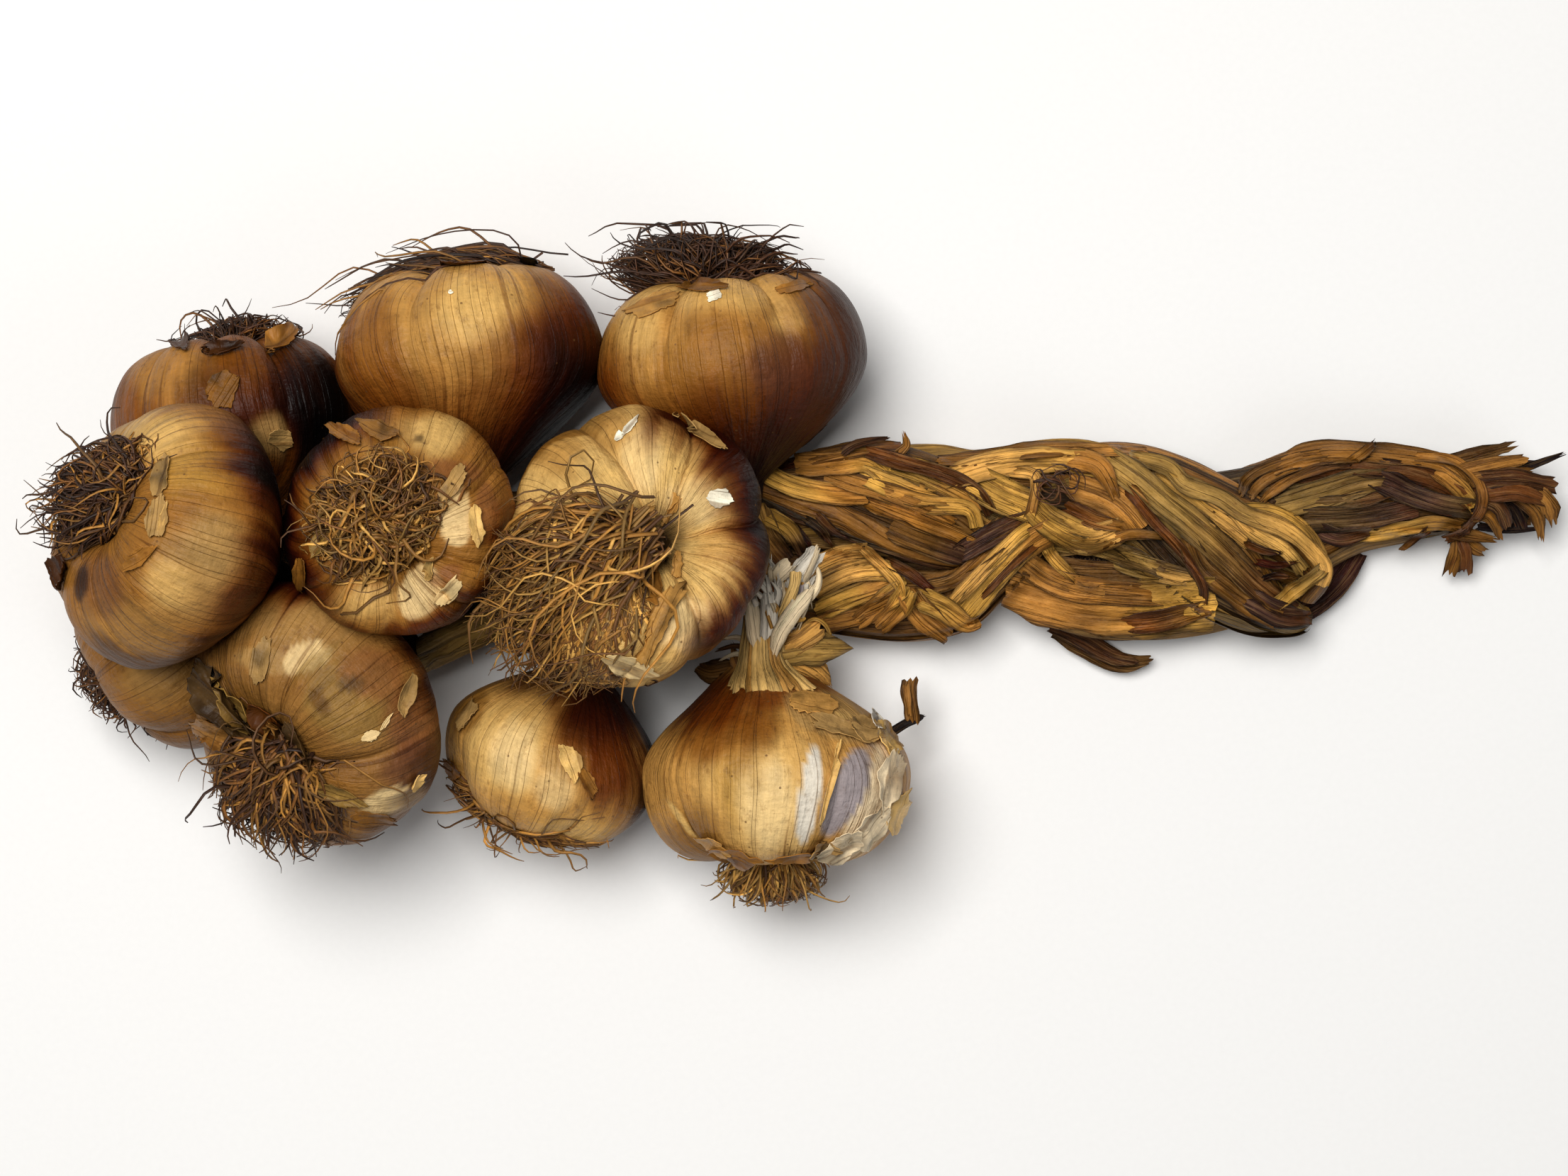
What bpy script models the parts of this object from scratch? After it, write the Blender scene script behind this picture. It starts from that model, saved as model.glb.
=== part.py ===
"""A braid of ten smoked garlic bulbs, lying flat on its back.

The bulbs hang on a plait of three leaf strands, which narrows to a tied tail. Metres, +Z up.
+X runs along the plait from the bulbs to the cut leaf ends, and +Y across it.
Every solid is shaped in millimetres, then scaled to metres.
"""

import math
from collections import namedtuple

import bmesh
import bpy
from mathutils import Euler, Matrix, Vector, noise
from mathutils.bvhtree import BVHTree

MM = 0.001
GAP = 0.4  # clearance between pieces that press on each other
FLAT_DIP = 1  # how much of a round piece the table flattens
FLOOR_SIZE = (600, 400, 40)  # the cutter that flattens them

# Shape of a garlic bulb, as shares of its radius. Its own +Z points at the roots.
SHOULDER_RADIUS = 0.50  # where the cloves reach furthest towards the roots
SHOULDER_HEIGHT = 0.62
PLATE_RADIUS = 0.10
PLATE_HEIGHT = 0.42
CURL_ANGLES = (112, 80, 44, 0)  # from the plate's rim out to the widest ring, in degrees
BODY_DEPTH = 0.88  # from the widest ring to the start of the neck
BODY_FULLNESS = 1.1  # lower is fuller between the widest ring and the neck
BODY_STEPS = 3
NECK_RADIUS = 0.18
CREASE_AT_EQUATOR = 0.07  # how deep the furrow between two cloves is
CREASE_AT_SHOULDER = 0.26
STEPS_PER_CLOVE = 3

STRAND_SIDES = 7
LEAF_SIDES = 6
SPAN_STEPS = 2  # rings for each station of a strand
STRAND_UNEVENNESS = 0.14  # how far an outline strays, as a share
TUFT_COLUMNS = 9
TUFT_ROWS = 5
TUFT_UNEVENNESS = 0.3

SKIN_AMBER = (0.40, 0.20, 0.06)
SKIN_TAN = (0.55, 0.33, 0.12)
SKIN_PALE = (0.66, 0.46, 0.22)
ROOT_BROWN = (0.20, 0.11, 0.04)
ROOT_TAN = (0.36, 0.23, 0.09)
LEAF_OCHRE = (0.42, 0.25, 0.08)
LEAF_GREEN = (0.27, 0.18, 0.07)
LEAF_DARK = (0.16, 0.08, 0.04)
STALK_PALE = (0.62, 0.50, 0.33)

# Where a bulb's widest ring is centred (z is None where it rests on the table) and its radius.
# Its roots point along azimuth in the flat plane, raised by elevation. stretch is its width along
# the azimuth over its width across, neck how far the neck runs past the body in radii, furrow
# scales the creases, and creases are their angles about the bulb's own axis, all in degrees.
Bulb = namedtuple("Bulb", "x y z radius azimuth elevation stretch neck furrow skin creases")
BULBS = {
    "bulb_01": Bulb(-134, 40, None, 30.5, 98, -6, 1, 0.2, 1, SKIN_AMBER,
                    (20, 90, 144, 178, 215, 280)),
    "bulb_02": Bulb(-143, 12, 63, 32, 155, 38, 1, 0.2, 0.7, SKIN_TAN, (20, 70, 120, 235, 300)),
    "bulb_03": Bulb(-149.5, -13, None, 27.5, 212, -8, 1, 0.2, 0.8, SKIN_PALE,
                    (10, 70, 125, 190, 245, 300)),
    "bulb_04": Bulb(-111, -29, 47, 33, 220, 50, 0.95, 0.25, 0.8, SKIN_TAN,
                    (40, 95, 140, 205, 262, 320)),
    "bulb_05": Bulb(-76.5, 55, None, 33.5, 95, -6, 1, 0.25, 0.8, SKIN_AMBER,
                    (20, 100, 159, 213, 275, 330)),
    "bulb_06": Bulb(-13, 54.5, None, 33.5, 96, 5, 1, 0.15, 1.2, SKIN_AMBER,
                    (25, 95, 151, 206, 236, 300)),
    "bulb_07": Bulb(-90, 16, 63, 27.5, 135, 80, 1, 0.3, 0.8, SKIN_TAN,
                    (2, 35, 80, 132, 177, 204, 252, 307)),
    "bulb_08": Bulb(-35.8, 10.3, 60, 30.5, 70, 68, 1.17, 0.3, 1, SKIN_PALE,
                    (0, 48, 90, 145, 195, 230, 260, 300)),
    "bulb_09": Bulb(-56.5, -41, None, 27, 250, -10, 1, 0.2, 1.1, SKIN_PALE,
                    (25, 85, 151, 235, 300)),
    "bulb_10": Bulb(-1.5, -46, None, 33, 270, 2, 1, 0.35, 1, SKIN_TAN, (30, 95, 154, 230, 300)),
}

# A station of a strand: its place, half its width, half its thickness, and its roll in degrees.
Station = namedtuple("Station", "x y z wide thick roll", defaults=(0,))

# One thick stalk lies over the start of the plait. Each strand crosses over and under the others.
STRANDS = {
    "top_stalk": (LEAF_DARK, (
        Station(-10, 28, 24, 4.2, 2.4),
        Station(3, 21.5, 26.5, 4.5, 2.4),
        Station(19, 15.5, 27.3, 4.5, 2.4),
        Station(35, 9.5, 25.5, 3.4, 2.1),
        Station(46, 7, 21, 2, 1.4),
    )),
    "strand_1": (LEAF_OCHRE, (
        Station(-8, 20, 19, 9, 5.5),
        Station(8, 21.5, 19.5, 12, 6),
        Station(24, 21.5, 19, 13.5, 6, -4),
        Station(39, 18, 17.5, 12, 6, -8),
        Station(49, 13, 13, 9.5, 5.5, -8),
        Station(62, 4, 8.3, 10.5, 6.5, 5),
        Station(78, 0.5, 8.5, 13, 8.5, 6),
        Station(95, 0, 8.5, 12.5, 8.5),
        Station(111, 1.5, 7.3, 10.5, 6),
        Station(126, 9, 7, 8.5, 5.5),
        Station(142, 15, 7, 5.5, 5),
        Station(158, 17, 7.8, 4.5, 4.2),
        Station(171, 19, 9.5, 4.5, 4),
    )),
    "strand_3": (LEAF_GREEN, (
        Station(-8, 22, 8, 8, 5.5),
        Station(16, 24.5, 8, 9, 5.5),
        Station(36, 27, 11, 8, 6, 6),
        Station(47, 25.5, 16, 8, 6, 6),
        Station(60, 24, 18.8, 11, 6),
        Station(75, 23.5, 20, 11.3, 6),
        Station(88, 17.5, 20.5, 9.4, 6),
        Station(103, 4.5, 20, 8.8, 6),
        Station(116, -3.5, 17, 7.2, 5.3),
        Station(126, -7.2, 12.5, 4.2, 3.8),
        Station(130.5, -7.5, 11, 2.2, 2.4),
    )),
    "strand_2": (LEAF_OCHRE, (
        Station(-8, 3, 11, 9.5, 7),
        Station(10, 1, 11.3, 11, 7.8),
        Station(29, -1, 12, 11.5, 8.5),
        Station(41, -1, 15, 9.5, 7, 8),
        Station(49, 4.5, 18.2, 8, 5.5, 10),
        Station(57, 12.5, 18, 8, 5),
        Station(65, 21, 11.5, 7.5, 4.8, -6),
        Station(75, 27, 7.5, 8, 5.5),
        Station(87, 27.3, 10, 8.2, 6.5, -5),
        Station(99, 22.8, 15, 8.5, 6.2, -8),
        Station(113, 15, 18, 8.5, 5.6),
        Station(124, 9.5, 17.5, 7, 5),
        Station(130.5, 4, 15, 4.4, 4.2),
        Station(128.5, -1.5, 12.5, 3, 3),
    )),
    "tail_top": (LEAF_DARK, (
        Station(104, 23, 6.5, 5, 4.4),
        Station(118, 25, 8.5, 5.5, 4.6),
        Station(130, 29, 12.8, 5.6, 5),
        Station(144, 29.7, 14.3, 5.6, 5),
        Station(158, 28, 14, 5.4, 4.8),
        Station(169, 22.8, 13, 5, 4.2),
        Station(173, 19, 12.5, 3.6, 3.4),
    )),
    "tail_middle": (LEAF_GREEN, (
        Station(116, 19, 13, 4.5, 3.6),
        Station(130, 21, 14.2, 6.4, 4.4, -6),
        Station(147, 21, 15, 7, 4.6),
        Station(161, 19.2, 14, 5.6, 4.2),
        Station(170, 18, 13.5, 4, 3.4),
    )),
}

# The stalks under the upper bulbs, from the left end of the cluster to the start of the plait.
STALK_CORE = (
    Station(-128, 12, 15, 6, 6),
    Station(-112, 11, 16, 11, 8),
    Station(-90, 9, 17, 14, 9.5),
    Station(-62, 9, 18, 15, 11),
    Station(-36, 12, 18, 15, 11.5),
    Station(-20, 14, 17, 14, 11),
    Station(-6, 14, 15, 11, 8),
)

# The stalk of bulb_04, which shows between the bulbs on its way to the core.
SIDE_STALK = (
    Station(-91, -17, 17, 4.5, 3.6),
    Station(-79, -11, 24, 5, 3.6),
    Station(-62, -3, 28.5, 5, 3.6),
)

# Stalks cut off short beside the neck of bulb_10.
CUT_STALKS = (
    Station(-4.8, -11, 32, 5.4, 4.6),
    Station(-4.2, -5, 35, 7, 5.4),
    Station(-1.5, 1.5, 37, 8.4, 6),
    Station(2, 7, 38, 8.6, 6),
    Station(3.5, 10, 38, 6, 4.6),
)

# Dry leaves that stand away from the plait and from the neck of bulb_10.
LEAVES = {
    "loop_leaf": (LEAF_DARK, (
        Station(126, -6.5, 5, 3.6, 1.6),
        Station(135, -2, 4.5, 4.2, 1.6, 15),
        Station(140.5, 4, 4.5, 3.8, 1.6, 20),
        Station(144, 9.5, 4, 3, 1.4, 10),
    )),
    "neck_leaf_right": (LEAF_OCHRE, (
        Station(1, -19, 30, 3, 1.2),
        Station(5, -16.5, 33, 6.5, 1.3, 20),
        Station(11, -14.5, 32, 7, 1.2, 10),
        Station(16, -15, 29, 3, 0.9),
    )),
    "neck_leaf_left": (LEAF_GREEN, (
        Station(-9, -19, 30, 2, 1.1),
        Station(-14, -19.5, 31, 3.2, 1.3),
        Station(-19.5, -19.5, 29, 2.6, 1.2),
    )),
    "hanging_leaf": (LEAF_GREEN, (
        Station(68, -10, 3.5, 2.5, 1.2),
        Station(77, -15, 3.5, 3.6, 1.4),
        Station(85, -18.8, 3.3, 3.2, 1.3),
        Station(92, -18, 5, 1.6, 0.9),
    )),
    "dry_stub": (LEAF_DARK, (
        Station(25.5, -34.5, 18, 1.3, 1.1),
        Station(29.5, -30, 17.5, 1.5, 1.2),
        Station(33, -27.5, 17.5, 1.8, 1.2),
        Station(33.5, -23.5, 18, 2.6, 1.1),
    )),
    "tassel": (LEAF_OCHRE, (
        Station(167, 12, 8, 3, 1.8),
        Station(170, 8.5, 7, 3.6, 2),
        Station(173, 5, 6, 4.2, 1.6),
    )),
}

# The leaf ends beyond the tie, cut off unevenly.
FRAYED_END = (
    Station(174, 20.5, 12, 5.5, 5.5),
    Station(179, 22, 12, 10, 7.5),
    Station(185, 23, 12.5, 12, 8.5),
    Station(190, 22, 12.5, 10.5, 7.5),
    Station(193, 22, 12.5, 5, 4),
)

# A tuft of dried roots, as one uneven cushion: its centre, its half lengths along its azimuth,
# across and upwards, and its tilt about the crosswise direction, in degrees.
Tuft = namedtuple("Tuft", "x y z along across up azimuth tilt colour")
TUFTS = {
    "roots_01": Tuft(-131, 61, 29, 16, 5.5, 9, 8, 0, ROOT_BROWN),
    "roots_02": Tuft(-160, 21, 75, 19, 13, 9, 165, 12, ROOT_BROWN),
    "roots_03": Tuft(-166, -24, 24, 8, 13, 10, 215, 0, ROOT_BROWN),
    "roots_04": Tuft(-121, -48, 54, 22, 21, 11, 225, 38, ROOT_BROWN),
    "roots_05": Tuft(-82, 74.5, 31, 30, 7, 10, 15, 0, ROOT_BROWN),
    "roots_06": Tuft(-19, 77.5, 34, 26, 8, 12, 176, 0, ROOT_BROWN),
    "roots_07": Tuft(-91, 19, 81, 20, 17, 8, 20, 6, ROOT_TAN),
    "roots_08": Tuft(-48, -1.5, 76, 31, 22, 10, 235, 23, ROOT_TAN),
    "roots_09": Tuft(-59, -55, 24, 19, 7, 10, 340, 0, ROOT_BROWN),
    "roots_10": Tuft(-3, -67, 29, 13.5, 8.5, 9, 0, 0, ROOT_TAN),
}


def clear_scene():
    for obj in list(bpy.data.objects):
        bpy.data.objects.remove(obj, do_unlink=True)


def make_material(name, colour, roughness):
    material = bpy.data.materials.new(name)
    material.use_nodes = True
    shader = material.node_tree.nodes["Principled BSDF"]
    shader.inputs["Base Color"].default_value = (*colour, 1)
    shader.inputs["Roughness"].default_value = roughness
    shader.inputs["Metallic"].default_value = 0
    return material


def add_object(name, bm, material, parent):
    """Turns a bmesh in millimetres into a named, smooth object in metres."""
    bmesh.ops.recalc_face_normals(bm, faces=bm.faces)
    bmesh.ops.triangulate(bm, faces=bm.faces)
    bmesh.ops.scale(bm, vec=(MM, MM, MM), verts=bm.verts)
    mesh = bpy.data.meshes.new(name)
    bm.to_mesh(mesh)
    bm.free()
    mesh.shade_smooth()
    mesh.materials.append(material)
    obj = bpy.data.objects.new(name, mesh)
    bpy.context.scene.collection.objects.link(obj)
    obj.parent = parent
    return obj


def bridge_rings(bm, rings):
    """Joins a list of equal vertex rings into a tube and closes both its ends."""
    count = len(rings[0])
    for ring, following in zip(rings, rings[1:]):
        for i in range(count):
            j = (i + 1) % count
            bm.faces.new((ring[i], ring[j], following[j], following[i]))
    bm.faces.new(rings[0][::-1])
    bm.faces.new(rings[-1])


# ---------------------------------------------------------------- bulbs


def clove_columns(creases):
    """(angle in degrees, bulge) of each mesh column: 0 in a furrow, 1 on a clove's crown."""
    columns = []
    for start, end in zip(creases, (*creases[1:], creases[0] + 360)):
        for step in range(STEPS_PER_CLOVE):
            share = step / STEPS_PER_CLOVE
            across = 2 * share - 1
            columns.append((start + (end - start) * share, math.sqrt(1 - across * across)))
    return columns


def bulb_profile(neck):
    """(radius, height, furrow depth) of each ring, from the root plate to the neck's end."""
    rings = [(PLATE_RADIUS, PLATE_HEIGHT, CREASE_AT_EQUATOR)]
    for angle in CURL_ANGLES:
        curl = math.radians(angle)
        reach = 1 - SHOULDER_RADIUS if angle < 90 else SHOULDER_RADIUS
        rise = math.sin(curl)
        depth = CREASE_AT_EQUATOR + (CREASE_AT_SHOULDER - CREASE_AT_EQUATOR) * rise
        rings.append((SHOULDER_RADIUS + reach * math.cos(curl), SHOULDER_HEIGHT * rise, depth))
    for step in range(1, BODY_STEPS + 1):
        share = step / BODY_STEPS
        flare = max(0, math.cos(math.pi / 2 * share)) ** BODY_FULLNESS
        radius = NECK_RADIUS + (1 - NECK_RADIUS) * flare
        rings.append((radius, -BODY_DEPTH * share, CREASE_AT_EQUATOR * (1 - share)))
    rings.append((NECK_RADIUS * 0.8, -BODY_DEPTH - neck, 0))
    return rings


def bulb_bmesh(bulb):
    bm = bmesh.new()
    columns = clove_columns(bulb.creases)
    rings = []
    for radius, height, depth in bulb_profile(bulb.neck):
        ring = []
        for angle, bulge in columns:
            furrow = 1 - depth * bulb.furrow * (1 - bulge)
            r = bulb.radius * radius * furrow
            z = bulb.radius * height * (furrow if height > 0 else 1)
            a = math.radians(angle)
            ring.append(bm.verts.new((r * math.cos(a) * bulb.stretch, r * math.sin(a), z)))
        rings.append(ring)
    bridge_rings(bm, rings)
    return bm


def add_bulb(name, bulb, parent):
    skin = make_material(name + "_skin", bulb.skin, 0.42)
    obj = add_object(name, bulb_bmesh(bulb), skin, parent)
    obj.rotation_euler = (0, math.radians(90 - bulb.elevation), math.radians(bulb.azimuth))
    height = bulb.z
    if height is None:
        turn = obj.rotation_euler.to_matrix()
        height = -min((turn @ vert.co).z for vert in obj.data.vertices) / MM - FLAT_DIP
    obj.location = Vector((bulb.x, bulb.y, height)) * MM
    return obj


# ---------------------------------------------------------------- strands, stalks and leaves


def smooth_stations(stations, steps):
    """A smooth curve through the stations, with every number of a station eased alike."""
    rows = (stations[0], *stations, stations[-1])
    found = []
    for before, start, end, after in zip(rows, rows[1:], rows[2:], rows[3:]):
        for step in range(steps):
            t = step / steps
            found.append(Station(*(
                b + 0.5 * t * (c - a + t * (2 * a - 5 * b + 4 * c - d + t * (3 * (b - c) + d - a)))
                for a, b, c, d in zip(before, start, end, after)
            )))
    return [*found, stations[-1]]


def sweep_bmesh(stations, sides, seed):
    """An oval tube along the stations, with a slightly uneven outline."""
    bm = bmesh.new()
    line = smooth_stations(stations, SPAN_STEPS)
    places = [Vector((s.x, s.y, s.z)) for s in line]
    rings = []
    for i, station in enumerate(line):
        ahead = places[min(i + 1, len(line) - 1)] - places[max(i - 1, 0)]
        side = ahead.cross(Vector((0, 0, 1))).normalized()
        up = side.cross(ahead).normalized()
        roll = Matrix.Rotation(math.radians(station.roll), 3, ahead)
        across = roll @ side * station.wide
        above = roll @ up * station.thick
        ring = []
        for k in range(sides):
            a = 2 * math.pi * k / sides
            stray = noise.noise(Vector((i * 0.35, k * 0.9, seed * 7.3 + 0.5)))
            offset = across * math.cos(a) + above * math.sin(a)
            ring.append(bm.verts.new(places[i] + offset * (1 + STRAND_UNEVENNESS * stray)))
        rings.append(ring)
    bridge_rings(bm, rings)
    return bm


# ---------------------------------------------------------------- roots


def tuft_bmesh(tuft, seed):
    bm = bmesh.new()
    bmesh.ops.create_uvsphere(bm, u_segments=TUFT_COLUMNS, v_segments=TUFT_ROWS, radius=1)
    for vert in bm.verts:
        stray = 1 + TUFT_UNEVENNESS * noise.noise(vert.co * 1.8 + Vector((seed * 5.1, 0, 0)))
        co = vert.co * stray
        vert.co = Vector((co.x * tuft.along, co.y * tuft.across, co.z * tuft.up))
    return bm


def add_tuft(name, tuft, seed, parent):
    material = make_material(name + "_fibre", tuft.colour, 0.8)
    obj = add_object(name, tuft_bmesh(tuft, seed), material, parent)
    obj.location = Vector((tuft.x, tuft.y, tuft.z)) * MM
    obj.rotation_euler = Euler((0, math.radians(tuft.tilt), math.radians(tuft.azimuth)))
    return obj


# ---------------------------------------------------------------- clearances


def placed_vertices(obj):
    place = Matrix.LocRotScale(obj.location, obj.rotation_euler, obj.scale)
    return [place @ vert.co for vert in obj.data.vertices]


def surface_of(obj):
    faces = [tuple(polygon.vertices) for polygon in obj.data.polygons]
    return BVHTree.FromPolygons(placed_vertices(obj), faces)


def hide_cutter(cutter, parent):
    bpy.context.scene.collection.objects.link(cutter)
    cutter.parent = parent
    cutter.hide_render = True
    cutter.display_type = "WIRE"


def add_swollen_copy(source):
    """A hidden copy of source, grown by the gap that what presses on it has to keep."""
    bm = bmesh.new()
    bm.from_mesh(source.data)
    bm.normal_update()
    for vert in bm.verts:
        vert.co += vert.normal * GAP * MM
    mesh = bpy.data.meshes.new("room_for_" + source.name)
    bm.to_mesh(mesh)
    bm.free()
    copy = bpy.data.objects.new(mesh.name, mesh)
    copy.location = source.location
    copy.rotation_euler = source.rotation_euler
    hide_cutter(copy, source.parent)
    return copy


def add_floor_cutter(parent):
    """A slab whose top is the table: what dips below it gets a small flat spot."""
    bm = bmesh.new()
    bmesh.ops.create_cube(bm, size=MM)
    bmesh.ops.scale(bm, vec=FLOOR_SIZE, verts=bm.verts)
    mesh = bpy.data.meshes.new("table")
    bm.to_mesh(mesh)
    bm.free()
    floor = bpy.data.objects.new("table", mesh)
    floor.location.z = -FLOOR_SIZE[2] / 2 * MM
    hide_cutter(floor, parent)
    return floor


def cut_by(obj, cutter):
    modifier = obj.modifiers.new(cutter.name, "BOOLEAN")
    modifier.operation = "DIFFERENCE"
    modifier.solver = "EXACT"
    modifier.object = cutter


def make_room(pieces, parent):
    """Cuts each piece back where one before it in the list, or the table, presses on it."""
    copies = [add_swollen_copy(piece) for piece in pieces]
    surfaces = [surface_of(piece) for piece in pieces]
    floor = add_floor_cutter(parent)
    for i, piece in enumerate(pieces):
        for copy in copies[:i]:
            if surface_of(copy).overlap(surfaces[i]):
                cut_by(piece, copy)
        if min(corner.z for corner in placed_vertices(piece)) < 0:
            cut_by(piece, floor)


def centre_on_origin(pieces, root):
    """Moves the whole braid so that the middle of its base is at the origin."""
    corners = [corner for piece in pieces for corner in placed_vertices(piece)]
    for axis in (0, 1):
        values = [corner[axis] for corner in corners]
        root.location[axis] = -(min(values) + max(values)) / 2


def build():
    clear_scene()
    root = bpy.data.objects.new("garlic_braid", None)
    bpy.context.scene.collection.objects.link(root)

    # The upper bulbs come first, because the lower ones give way to them.
    upper = [name for name, bulb in BULBS.items() if bulb.z is not None]
    lower = [name for name, bulb in BULBS.items() if bulb.z is None]
    pieces = [add_bulb(name, BULBS[name], root) for name in upper + lower]
    routes = {
        **STRANDS,
        "cut_stalks": (STALK_PALE, CUT_STALKS),
        **LEAVES,
        "frayed_end": (LEAF_OCHRE, FRAYED_END),
        "side_stalk": (LEAF_GREEN, SIDE_STALK),
        "stalk_core": (LEAF_DARK, STALK_CORE),
    }
    for seed, (name, (colour, stations)) in enumerate(routes.items()):
        material = make_material(name + "_leaf", colour, 0.62)
        sides = LEAF_SIDES if name in LEAVES else STRAND_SIDES
        pieces.append(add_object(name, sweep_bmesh(stations, sides, seed), material, root))
    for seed, (name, tuft) in enumerate(TUFTS.items()):
        pieces.append(add_tuft(name, tuft, seed, root))

    make_room(pieces, root)
    centre_on_origin(pieces, root)


build()
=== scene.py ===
"""The looks of a braid of ten smoked garlic bulbs: skins, roots, plaited leaves and light.

Everything is laid out in millimetres, with the same sizes and routes as the part's source, and
place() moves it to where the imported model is. +X runs along the plait from the bulbs to the cut
leaf ends, +Y across it, +Z up.
"""

import itertools
import math
from collections import namedtuple

import bpy
import numpy as np
from mathutils import Euler, Matrix, Vector
from mathutils.bvhtree import BVHTree


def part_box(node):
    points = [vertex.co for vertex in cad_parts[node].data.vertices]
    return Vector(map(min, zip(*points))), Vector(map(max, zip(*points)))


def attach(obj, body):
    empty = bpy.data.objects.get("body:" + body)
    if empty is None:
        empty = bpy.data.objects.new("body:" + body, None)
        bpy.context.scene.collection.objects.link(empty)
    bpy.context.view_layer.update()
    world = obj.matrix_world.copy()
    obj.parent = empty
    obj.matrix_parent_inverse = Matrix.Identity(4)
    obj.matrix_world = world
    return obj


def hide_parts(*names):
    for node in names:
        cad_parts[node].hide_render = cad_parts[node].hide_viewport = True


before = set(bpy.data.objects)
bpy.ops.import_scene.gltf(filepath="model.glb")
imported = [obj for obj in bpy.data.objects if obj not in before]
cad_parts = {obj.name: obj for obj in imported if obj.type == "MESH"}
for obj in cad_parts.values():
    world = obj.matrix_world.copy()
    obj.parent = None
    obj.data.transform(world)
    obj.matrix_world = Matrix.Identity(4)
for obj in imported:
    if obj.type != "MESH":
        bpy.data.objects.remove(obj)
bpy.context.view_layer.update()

MM = 0.001
BULB_02_MIDDLE = np.array((-143.555, 11.998, 0.0))  # the middle of this node's box in the layout

# ---------------------------------------------------------------- tones (sRGB, 0 to 255)

WHITE = (222, 216, 210)
CREAM = (204, 178, 134)
STRAW = (186, 152, 100)
GOLD = (180, 148, 89)
BEIGE = (182, 147, 95)
TAN = (158, 121, 71)
OCHRE = (136, 102, 53)
OLIVE = (112, 84, 42)
ORANGE = (150, 112, 58)
AMBER = (118, 68, 18)
CARAMEL = (138, 95, 42)
SIENNA = (116, 78, 38)
UMBER = (96, 65, 34)
RUSSET = (80, 34, 6)
MAHOGANY = (46, 14, 4)
MAROON = (44, 16, 14)
SMOKE = (14, 5, 2)
MAUVE = (114, 80, 64)
PLUM = (84, 61, 54)
LAVENDER = (160, 152, 160)
PEARL = (202, 196, 194)
PITH = (208, 194, 178)
IVORY = (214, 194, 162)
PALE = (203, 176, 130)
HONEY = (183, 149, 100)
SAND = (172, 146, 108)
GREY_BROWN = (104, 84, 58)
GREY_TAN = (152, 128, 84)
FAWN = (154, 121, 78)
ROSE = (146, 104, 74)
ROOT_END = (74, 44, 20)
ROOT_DARK = (86, 58, 30)
ROOT_BROWN = (122, 90, 50)
ROOT_TAN = (156, 122, 70)
ROOT_PALE = (182, 151, 99)

SKIN_SHADE = 1.04  # how much brighter skins are than their tones
TONE_GAIN = np.array((1.27, 1.27, 1.14))  # makes up for what the lamps take of red, green, blue
RICHNESS = 1.5  # a power that deepens all tones, because the pale floor washes them out


def linear(tone):
    """An sRGB tone as the linear colour that shaders use."""
    share = np.asarray(tone, float) / 255
    return np.where(share <= 0.04045, share / 12.92, ((share + 0.055) / 1.055) ** 2.4)


# ---------------------------------------------------------------- sizes and places

# Shape of a garlic bulb, as shares of its radius. Its own +Z points at the roots.
SHOULDER_RADIUS = 0.50
SHOULDER_HEIGHT = 0.62
PLATE_RADIUS = 0.10
PLATE_HEIGHT = 0.42
CURL_START = 112
BODY_DEPTH = 0.88
BODY_FULLNESS = 1.1
NECK_RADIUS = 0.15
CREASE_AT_EQUATOR = 0.07
CREASE_AT_SHOULDER = 0.26
CREASE_DEPTHS = (0.25, 0.9)  # how much of a crease shows through the skin
BULB_COLUMNS = 170  # mesh columns round a bulb
CURL_RINGS = 30
BODY_RINGS = 26
SLOPE_SHARES = (0.35, 0.7)  # where rings lie between the root plate and the shoulders
NECK_SHARES = (0.33, 0.67, 1)
NECK_TAPER = 0.2

# A bulb's widest ring and radius, the way its roots point, how far it is stretched sideways, the
# length of its neck in radii, how deep its furrows are, and its creases, as in the part. lean
# moves the root plate sideways from the middle of the shoulders, and bow moves the neck.
Bulb = namedtuple(
    "Bulb", "x y z radius azimuth elevation stretch neck furrow creases lean bow",
    defaults=((0, 0), (0, 0)),
)
BULBS = {
    "bulb_01": Bulb(-134, 40, 28.4, 30.5, 98, -6, 1, 0.2, 1, (20, 90, 144, 178, 215, 280)),
    "bulb_02": Bulb(-143, 12, 63, 32, 155, 38, 1, 0.2, 0.7, (20, 70, 120, 235, 300)),
    "bulb_03": Bulb(-149.5, -13, 25.4, 27.5, 212, -8, 1, 0.2, 0.8, (10, 70, 125, 190, 245, 300)),
    "bulb_04": Bulb(-111, -29, 47, 33, 220, 50, 0.95, 0.25, 0.8, (40, 95, 140, 205, 262, 320),
                    (0, -2)),
    "bulb_05": Bulb(-76.5, 55, 32.2, 33.5, 95, -6, 1, 0.25, 0.8, (20, 100, 159, 213, 275, 330)),
    "bulb_06": Bulb(-13, 54.5, 32.2, 33.5, 96, 5, 1, 0.15, 1.2, (25, 95, 151, 206, 236, 300)),
    "bulb_07": Bulb(-90, 16, 63, 27.5, 135, 80, 1, 0.3, 0.8,
                    (2, 35, 80, 132, 177, 204, 252, 307), (2.4, -6)),
    "bulb_08": Bulb(-35.8, 10.3, 60, 30.5, 70, 68, 1.17, 0.3, 1,
                    (0, 48, 90, 145, 195, 230, 260, 300), (5, -6)),
    "bulb_09": Bulb(-56.5, -41, 25.4, 27, 250, -10, 1, 0.2, 1.1, (25, 85, 151, 235, 300)),
    "bulb_10": Bulb(-1.5, -46, 31.8, 33, 270, 2, 1, 0.35, 1, (30, 95, 154, 230, 300), (0, 0),
                    (-3.8, 0)),
}

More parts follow.
